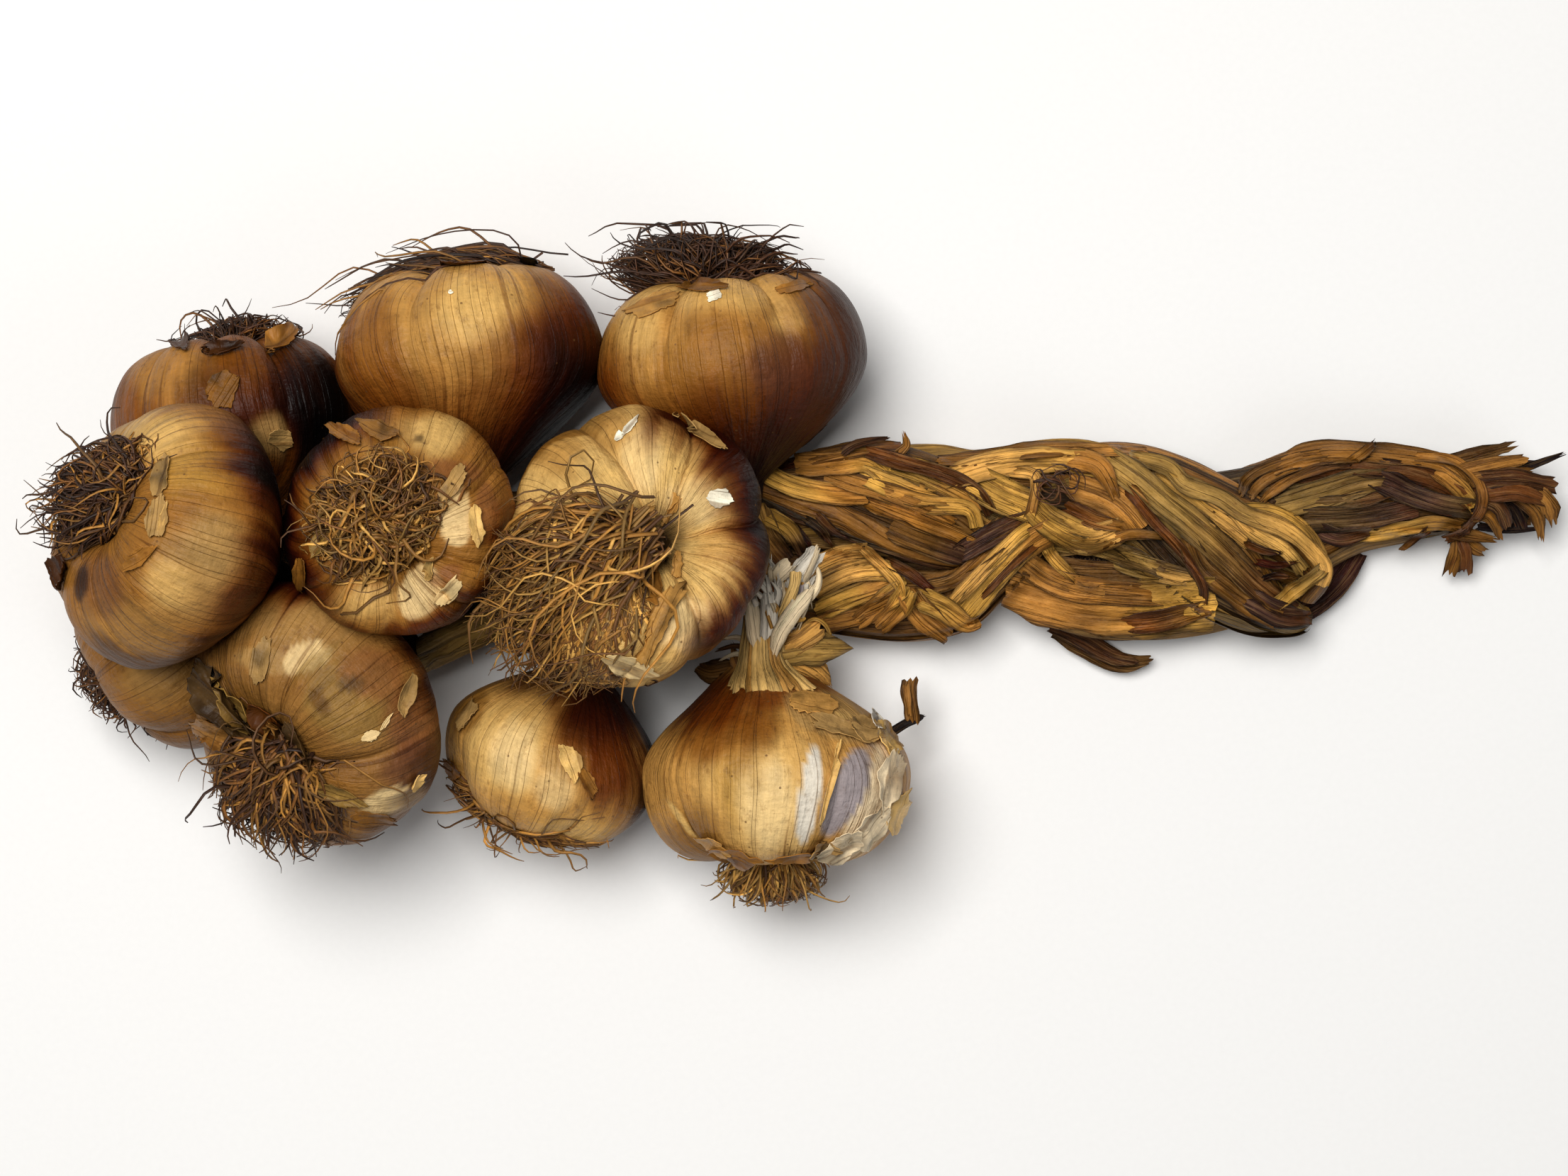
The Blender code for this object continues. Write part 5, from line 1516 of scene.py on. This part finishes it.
def add_ribbon(pile, stations, tone, seed, fold, cup, ragged):
    """A thin leaf along stations, with torn ends: fold is a ridge, cup bends up both edges."""
    places, ahead, across, above = route_frame(stations, RIBBON_STEPS_PER_SPAN)
    rows = len(places)
    columns = np.linspace(-1, 1, RIBBON_COLUMNS)
    width = np.linalg.norm(across, axis=1)[:, None]
    side = unit(across)[:, None]
    up = unit(above)[:, None]
    travelled = lengths_along(places)
    grain = np.zeros((rows, RIBBON_COLUMNS, 3))
    grain[..., 0] = columns * width + seed * 13.7
    grain[..., 1] = seed * 5.3
    grain[..., 2] = travelled[:, None]

    edge = 1 + 0.3 * ragged * noise(grain * (0, 1, 1), 2.5, seed)
    spread = columns * width * edge
    height = fold * (1 - np.abs(columns)) + cup * columns**2
    height = height * np.minimum(1, width / 2) + 0.3 * rough_noise(grain * (1, 1, 0.3), 2.5, seed)
    tear = ragged * 3 * waver(columns * 3, 1, seed)
    near_end = np.linspace(-1, 1, rows)[:, None] ** 7 * tear[None]
    points = places[:, None] + side * spread[..., None] + up * height[..., None]
    points = points + ahead[:, None] * near_end[..., None]

    # Painted light and shade: paler where the fold and the cupped edges stand high, with random
    # mottling, and darker towards the edges.
    shade = 1 + 0.3 * noise(grain * (0.9, 1, 0.06), 0.8, seed + 2) + 0.2 * height
    shade *= 1 - 0.35 * np.abs(columns) ** 4
    tones = linear(tone) * np.clip(shade, 0.3, 1.6)[..., None]
    pile.add_sheet(points, points - up * RIBBON_THICKNESS, tones, grain, 1)


# A slip is a narrow piece of leaf: its tone, how much it is folded along its middle and cupped,
# how ragged it is, and its places, each with its half width and, where it is rolled, its roll in
# degrees.
Slip = namedtuple("Slip", "tone fold cup ragged places")
NECK_RIBS = 13
NECK_TONES = (HONEY, PALE, PALE, BEIGE)
NECK_RAGGED = 2.4  # how far up the shoulders the ribs' lower ends differ
# Rings that these ribs pass: the middle of the neck, its distance from the plait, its radius,
# how far the ribs spread across it and their half width.
NECK_RINGS = (
    (-2.9, -26.2, 15.6, 10, 1.2),
    (-3.7, -23, 14, 8.6, 1.3),
    (-5.1, -18.5, 7.7, 5.4, 1),
    (-5.3, -12.5, 7.6, 4.3, 0.9),
    (-5.3, -7, 8.2, 3.9, 0.6),
)
# The slivers of pith round the cut ends: how many, their tones, where they stand and how long
# they are. A sliver's rings give its place along it, its height and its width.
SLIVERS = 44
SLIVER_TONES = (PITH, PEARL, PEARL, BEIGE)
SLIVER_MIDDLE = np.array((-0.6, -1.6))
SLIVER_SPREAD = np.array((7, 6))
SLIVER_HEIGHT = 41
SLIVER_RINGS = ((-1, -1.8, 0.9), (0, 0.4, 1), (0.6, 1, 0.8), (1, 0.6, 0.4))
SLIPS = {
    "loop_leaf": (
        Slip(RUSSET, 0, 0.8, 0.4,
             ((126, -6.5, 5, 3.6), (135, -2, 4.5, 4.2, 15), (140.5, 4, 4.5, 3.8, 20),
              (144, 9.5, 4, 3, 10))),
    ),
    "hanging_leaf": (
        Slip(OLIVE, 0, 0.7, 0.5,
             ((68, -10, 3.5, 2.5), (77, -15, 3.5, 3.4), (85, -18.8, 3.3, 2.8), (92, -18, 5, 1))),
        Slip(UMBER, 0.8, 0.4, 0.5,
             ((67, -9, 5, 2), (75, -13, 5, 2.6, 10), (83, -17.5, 5, 2.2, 15),
              (89, -18.5, 6, 0.5, 20))),
    ),
    "neck_leaf_right": (
        Slip(BEIGE, 0.8, 0.6, 0.5,
             ((-2, -15.5, 36, 2.2), (4, -12.5, 38, 3.4, 10), (9, -9, 36.5, 2.2, 20))),
        Slip(GREY_TAN, 1.4, 0.4, 0.6,
             ((-2, -16, 36, 2.4), (6, -14.8, 37.5, 4.4), (11, -14.5, 35, 3.4, -10),
              (16.4, -14.7, 31, 0.3, -10))),
        Slip(BEIGE, 1, 0.3, 0.6,
             ((-1.5, -16.5, 35.5, 2), (4, -18, 36, 3.8, -5), (8.5, -20.5, 33.5, 2.8, -10),
              (11.4, -23.8, 30, 0.3, -10))),
        Slip(GOLD, 0, 0.2, 0.7,
             ((4.5, -8.6, 36, 0.8, 60), (7.5, -7.4, 37.5, 1, 70), (10, -9, 37, 0.9, 60),
              (11.6, -12, 35, 0.5, 40))),
        Slip(MAHOGANY, 0, 0.5, 0.3, ((4, -11, 34, 1.6), (8, -10, 34, 2), (10, -11, 33, 1))),
    ),
    "neck_leaf_left": (
        Slip(OLIVE, 0.8, 0.6, 0.5,
             ((-11, -19, 31, 1.6), (-14.5, -20, 32, 2.8), (-18, -20.5, 31, 2.8, 10),
              (-21, -19.5, 29, 1.2, 15))),
        Slip(UMBER, 1.2, 0.3, 0.6,
             ((-10, -21, 32, 1.2), (-14, -21.8, 32.5, 1.4, 10), (-18, -22.6, 30, 0.5, 20))),
        Slip(OCHRE, 0.6, 0.3, 0.7,
             ((-9.5, -21.5, 33.5, 1.4, 10), (-11.4, -18, 34.5, 1.7), (-12.4, -14.5, 34, 0.4))),
    ),
    "dry_stub": (
        Slip(MAHOGANY, 0.3, 0.2, 0.3,
             ((25.5, -36.5, 17.5, 1.2), (30, -33.6, 18, 1.1), (32.5, -32.4, 18, 1.2),
              (35, -31.6, 18, 0.3))),
        Slip(OCHRE, 0.4, 0.6, 0.6,
             ((31.8, -33, 18, 1.7), (31.4, -29, 18.6, 1.8, 10), (30.8, -25.5, 18.4, 2.2),
              (31.2, -22.6, 18, 2.4))),
        Slip(TAN, 0.2, 0.4, 0.7,
             ((31, -31.5, 19.2, 0.7), (30.6, -28, 19.8, 0.8), (30.2, -24, 19.4, 0.9))),
    ),
    "cut_stalks": (
        Slip(PITH, 0.8, 0.4, 0.5,
             ((-6.3, -13, 39, 2.2, -10), (-7.4, -7, 41, 2.1, -20), (-8.2, 0.6, 42, 0.3, -25))),
        Slip(PEARL, 0.6, 0.2, 0.5,
             ((-4.6, -12, 39.8, 1.2), (-4.5, -6, 41.4, 1.2, 10), (-4.8, -1.6, 42, 0.9, 20))),
        Slip(PEARL, 0.5, 0.3, 0.6,
             ((-3, -12, 39.8, 1.1), (-2.7, -6, 41.3, 1.3, -10), (-3.2, -1, 41.8, 1, -15))),
        Slip(PITH, 0.9, 0.5, 0.3,
             ((-2.6, -16, 38.4, 1.1, 10), (-0.9, -11, 41, 2, 20), (2.2, -6, 42.4, 2.1, 15),
              (5, -2.4, 42.6, 1.6, 10), (7.4, 1, 41.6, 0.25))),
        Slip(BEIGE, 0.5, 0.6, 0.9,
             ((-6.4, 1, 39, 1.6), (-5.6, 4.5, 40.2, 2, 10), (-4.4, 8.4, 39.5, 1.5, 20))),
        Slip(PITH, 0.4, 0.7, 0.9,
             ((-3.4, 1, 39.8, 1.5), (-1.4, 3.2, 41.8, 2.1), (1.4, 6, 41.8, 1.7))),
        Slip(PEARL, 0.5, 0.7, 0.9,
             ((1.6, 1.4, 40, 1.7), (4.4, 4.4, 41.8, 2.4), (7.8, 8.6, 41, 2.1))),
        Slip(PITH, 0.3, 0.5, 0.8,
             ((3.2, 0, 40, 1.2), (5.4, 3.6, 42.4, 1.5, 30), (8.2, 9.8, 41.4, 0.9, 40))),
        Slip(CREAM, 0.3, 0.5, 0.4,
             ((-0.2, -7, 40.4, 1.5), (1.3, -2.6, 42.6, 1.5, -10), (2.5, 0.8, 43.6, 1.4),
              (2.9, 4, 42.6, 1.4, 10))),
        Slip(PITH, 0.2, 0.4, 0.5,
             ((5.6, -3, 40.6, 0.9), (8, 0.2, 42.2, 1, 10), (8.4, 3.4, 42, 0.8, 20),
              (7.6, 5.6, 41, 0.3, 20))),
        Slip(ROSE, 0.6, 0.4, 0.8,
             ((-5, -2.5, 39.6, 1.2, 40), (-3, -0.5, 41, 1.5, 20), (-1.4, 2.4, 41, 1))),
        Slip(PEARL, 0.4, 0.3, 0.6,
             ((-2.2, -5, 40.4, 0.8), (-1.2, -1.2, 42.4, 0.9, -30), (-2.6, 1.4, 42.6, 0.4, -60))),
        Slip(BEIGE, 0.5, 0.5, 0.8,
             ((-0.4, -4, 39.6, 1.2), (0.2, -0.6, 41, 1.3, 20), (-0.4, 2.4, 41.4, 0.9, 40))),
        Slip(LAVENDER, 0.3, 0.3, 0.8, ((3.4, -5, 40, 1.2), (4.4, -1, 41.4, 1.3), (5, 3, 41.4, 1))),
        Slip(GOLD, 0.6, 0.4, 0.4,
             ((-1.5, -9, 40, 1.4), (1.5, -7.4, 41, 1.6), (5, -6.6, 40.6, 1.4))),
        Slip(PITH, 0.2, 0.2, 0.6,
             ((-8.6, -13, 37, 0.8), (-11.5, -12, 37, 0.7, 20), (-15, -12.4, 35.6, 0.3, 30))),
        Slip(UMBER, 0.2, 0.2, 0.6,
             ((-8.6, -14.6, 36.4, 0.7), (-12, -14, 36, 0.7, 10), (-15.8, -15, 34.6, 0.3, 20))),
        Slip(PITH, 0.2, 0.2, 0.6,
             ((-8.8, -16, 36, 0.7), (-12, -16, 36, 0.6, 10), (-15.2, -17.4, 34.6, 0.3, 20))),
    ),
    "frayed_end": (
        Slip(OLIVE, 0.6, 0.4, 0.7, ((163, 31, 14, 1.4), (172, 33, 15, 1.9), (181, 35.4, 15, 1.1))),
        Slip(TAN, 0.8, 0.5, 0.7,
             ((165, 28, 15, 1.8), (174, 30, 17, 2.4, 10), (184, 32, 16, 1.4, 10))),
        Slip(OCHRE, 0.8, 0.5, 0.8,
             ((168, 26, 15, 2), (176, 29, 16, 1.8, -10), (186, 29, 14, 0.8, -10))),
        Slip(MAHOGANY, 0.4, 0.2, 0.4,
             ((176, 27.5, 14, 1.2), (186, 30.5, 14, 1), (194, 33.4, 13, 0.5))),
        Slip(UMBER, 0.9, 0.6, 0.9,
             ((170, 26, 16, 2.2), (180, 27, 18, 2.8), (191.4, 25.4, 15, 2, 10))),
        Slip(SIENNA, 0.7, 0.5, 0.9,
             ((171, 23, 16.5, 2), (180, 24, 18.4, 2.6, 10), (187.5, 22, 17, 1.6, 10))),
        Slip(TAN, 0.8, 0.7, 0.9,
             ((183, 25.5, 15, 1.6), (189, 21.5, 16, 2.4), (191.5, 16.4, 13, 1.4))),
        Slip(OCHRE, 0.8, 0.5, 0.9,
             ((181, 23, 15, 1.4), (186.6, 18.5, 15.4, 1.8), (188.8, 12, 12, 0.7))),
        Slip(UMBER, 0.8, 0.6, 0.8,
             ((170, 23, 15.5, 2), (176.4, 20.5, 17, 2.6, 20), (180, 15, 14, 1.6, 20))),
        Slip(OCHRE, 0.8, 0.5, 0.8, ((169, 19, 14, 2), (175, 18, 15, 2.2), (178.6, 13, 12, 1.2))),
        # These two wide near-black slips in the middle of the frayed end are painted shade for its
        # dark hollow.
        Slip(MAHOGANY, 0.5, 0.4, 0.6, ((175, 22, 11, 3), (181, 20, 11.5, 3.4), (184, 15, 11, 2))),
        Slip(SMOKE, 0.3, 0.4, 0.6, ((174, 21, 9, 3.4), (182, 20.5, 9.5, 4), (187, 19, 9, 2.6))),
        Slip(MAHOGANY, 0.3, 0.2, 0.5,
             ((173, 15.5, 11, 1.2), (181, 14.4, 11.5, 0.9), (188, 14.8, 11, 0.5))),
        Slip(UMBER, 0.7, 0.5, 0.8, ((172, 24, 8, 2.4), (181, 25.5, 7.4, 3), (188, 26, 6, 1.8))),
        Slip(OCHRE, 0.7, 0.5, 0.8, ((172, 20, 7, 2.4), (180, 19, 5.4, 3), (188, 17, 4, 1.8))),
        Slip(SIENNA, 0.7, 0.5, 0.8,
             ((172, 22, 8, 2, 40), (182, 24, 9, 2.4, 60), (190, 24, 9, 1.4, 60))),
        Slip(UMBER, 0.7, 0.5, 0.8, ((172, 27, 10, 2), (181, 30, 9, 2.2), (187, 31, 8, 1.2))),
    ),
    "tassel": (
        Slip(OCHRE, 0.8, 0.6, 0.8,
             ((168, 12.6, 9.5, 1.2), (168, 8.5, 9, 1.8), (167, 3.8, 6.5, 1.4))),
        Slip(SIENNA, 0.8, 0.6, 0.8,
             ((169, 12.6, 9.8, 1.2), (170.4, 8.5, 9.6, 1.8), (171, 4.2, 7, 1.5))),
        Slip(OCHRE, 0.8, 0.6, 0.8,
             ((170, 12.6, 9.4, 1.2), (172.6, 10.2, 9, 1.6), (175.2, 9, 7.6, 1))),
        Slip(UMBER, 0.8, 0.5, 0.8,
             ((168, 12, 7.6, 1.2), (169.4, 8.5, 6.6, 2), (169.6, 4.6, 4.6, 1.6))),
        Slip(OCHRE, 0.6, 0.5, 0.8, ((166, 14, 11, 1.6), (172, 13, 11.6, 1.6), (178, 12, 10, 0.8))),
    ),
}
STRAY_SLIPS = (
    Slip(UMBER, 0.5, 0.4, 0.5, ((0, 33.5, 21, 1.3), (5, 36.4, 23, 1.1), (10, 39.8, 22.5, 0.3))),
    Slip(UMBER, 0.5, 0.4, 0.6, ((14, 33, 26, 1), (18, 35.4, 26, 1.2), (26, 37, 24, 0.3))),
    Slip(OCHRE, 0.5, 0.4, 0.6, ((28, 33, 25, 1), (30, 35, 25, 1.2), (29.6, 37.4, 24, 0.5))),
)


def add_slips(material, name, slips, slot, *nodes):
    """Builds the slips as one piece, which replaces the given nodes."""
    pile = Pile()
    for i, slip in enumerate(slips):
        stations = [(*place[:4], RIBBON_THICKNESS, *place[4:]) for place in slip.places]
        seed = len(name) * 31 + i
        add_ribbon(pile, stations, slip.tone, seed, slip.fold, slip.cup, slip.ragged)
    pile.build(name + "_slips", material, slot, *nodes)


def neck_ribs():
    """Ribs of dry skin from the shoulders of the lowest bulb up its neck to the cut stalks."""
    rng = np.random.default_rng(RIB_SEED)
    axis = BULBS["bulb_10"].z
    ribs = []
    for across in np.linspace(-1, 1, NECK_RIBS):
        tone = NECK_TONES[rng.integers(4)]
        late = rng.uniform(0, NECK_RAGGED)
        places = []
        for middle, y, radius, spread, half in NECK_RINGS:
            x = spread * across
            height = axis + math.sqrt(radius**2 - x**2)
            places.append((middle + x, y + late, height, half, 30 * across))
            late = 0
        ribs.append(Slip(tone, 0.5, 0.2, 0.3, tuple(places)))
    return tuple(ribs)


def stalk_slivers():
    """Torn slivers of pith that stand round the cut ends of the stalks."""
    rng = np.random.default_rng(SLIVER_SEED)
    slivers = []
    for _ in range(SLIVERS):
        tone = SLIVER_TONES[rng.integers(4)]
        x, y = SLIVER_MIDDLE + SLIVER_SPREAD * rng.uniform(-1, 1, 2)
        bearing = math.radians(rng.uniform(75, 125) - 4 * (x - SLIVER_MIDDLE[0]))
        reach = rng.uniform(2.4, 4.2)
        half = rng.uniform(0.4, 0.8)
        places = []
        for share, height, width in SLIVER_RINGS:
            places.append((
                x + share * reach * math.cos(bearing),
                y + share * reach * math.sin(bearing),
                SLIVER_HEIGHT + height + rng.uniform(-0.8, 0.8),
                half * width,
                rng.uniform(-40, 40),
            ))
        slivers.append(Slip(tone, 0.4, 0.3, 0.9, tuple(places)))
    return tuple(slivers)


def add_rootlets(material):
    """The small tangle of dry rootlets that lies on the middle of the plait."""
    rng = np.random.default_rng(ROOTLET_SEED)
    count = ROOTLETS.roots
    widths = ROOTLETS.half * rng.uniform(0.6, 1.2, count)
    tones = linear(np.array(ROOTLETS.tones))[rng.integers(0, len(ROOTLETS.tones), count)]
    pile = Pile()
    add_tubes(pile, root_paths(ROOTLETS, rng), widths, tones)
    pile.build("plait_rootlets", material, "dried_roots")


def add_loose_leaves(leaf, stalk):
    """Builds the leaves that stand away, and the cut stalks with the ribs below them."""
    for name, slips in SLIPS.items():
        if name == "cut_stalks":
            add_slips(stalk, name, slips + neck_ribs() + stalk_slivers(), "cut_stalk", name)
        else:
            add_slips(leaf, name, slips, "dry_leaf", name)
    add_slips(leaf, "stray_leaves", STRAY_SLIPS, "dry_leaf")


# ---------------------------------------------------------------- studio

CAMERA_HEIGHT = 0.835
CAMERA_WIDTH_AT = 0.035  # the height at which the view is FIELD_WIDTH wide
FIELD_WIDTH = 0.380
SENSOR_WIDTH = 36  # millimetres
FLOOR_REACH = 3.0
SURROUND = 0.12  # how bright the white surround is


def add_camera():
    """Straight above the braid, as far off as a hand-held camera."""
    camera = bpy.data.cameras.new("camera")
    camera.sensor_width = SENSOR_WIDTH
    camera.lens = SENSOR_WIDTH * (CAMERA_HEIGHT - CAMERA_WIDTH_AT) / FIELD_WIDTH
    camera.clip_start = 0.01
    camera.clip_end = 10
    obj = bpy.data.objects.new("camera", camera)
    bpy.context.scene.collection.objects.link(obj)
    obj.location = (SHIFT[0] * MM, SHIFT[1] * MM, CAMERA_HEIGHT)
    bpy.context.scene.camera = obj


def add_floor():
    """The ground that the braid lies on. It isn't part of the braid."""
    mesh = bpy.data.meshes.new("floor")
    signs = ((-1, -1), (1, -1), (1, 1), (-1, 1))
    corners = [(x * FLOOR_REACH, y * FLOOR_REACH, 0) for x, y in signs]
    mesh.from_pydata(corners, [], [(0, 1, 2, 3)])
    mesh.materials.append(floor_material())
    floor = bpy.data.objects.new("floor", mesh)
    bpy.context.scene.collection.objects.link(floor)


def add_softbox(name, place_at, size, power, warmth):
    """A square lamp that faces the braid."""
    light = bpy.data.lights.new(name, "AREA")
    light.size = size
    light.energy = power
    light.color = warmth
    obj = bpy.data.objects.new(name, light)
    obj.location = place_at
    obj.rotation_euler = (-Vector(place_at)).to_track_quat("-Z", "Y").to_euler()
    bpy.context.scene.collection.objects.link(obj)


def add_light():
    """A large lamp above, a weak one beside it and an even, dim surround."""
    world = bpy.data.worlds.new("studio")
    bpy.context.scene.world = world
    world.use_nodes = True
    background = world.node_tree.nodes["Background"]
    background.inputs["Color"].default_value = (1, 1, 1, 1)
    background.inputs["Strength"].default_value = SURROUND
    add_softbox("key", (-0.28, 0.3, 1.3), 0.7, 20, (1, 0.98, 0.95))
    add_softbox("fill", (0.9, -0.7, 0.9), 0.9, 3, (0.96, 0.98, 1))
    bpy.context.scene.view_settings.view_transform = "Standard"


add_camera()
add_light()
add_floor()
bulb_surfaces = add_bulbs(skin_material())
root = root_material()
add_roots(root, bulb_surfaces)
add_rootlets(root)
leaf = leaf_material("dry_leaf", 1.0)
strands = add_bundles(leaf)
add_plait_leaves(leaf, strands)
add_loose_leaves(leaf, leaf_material("cut_stalk", 0.4))
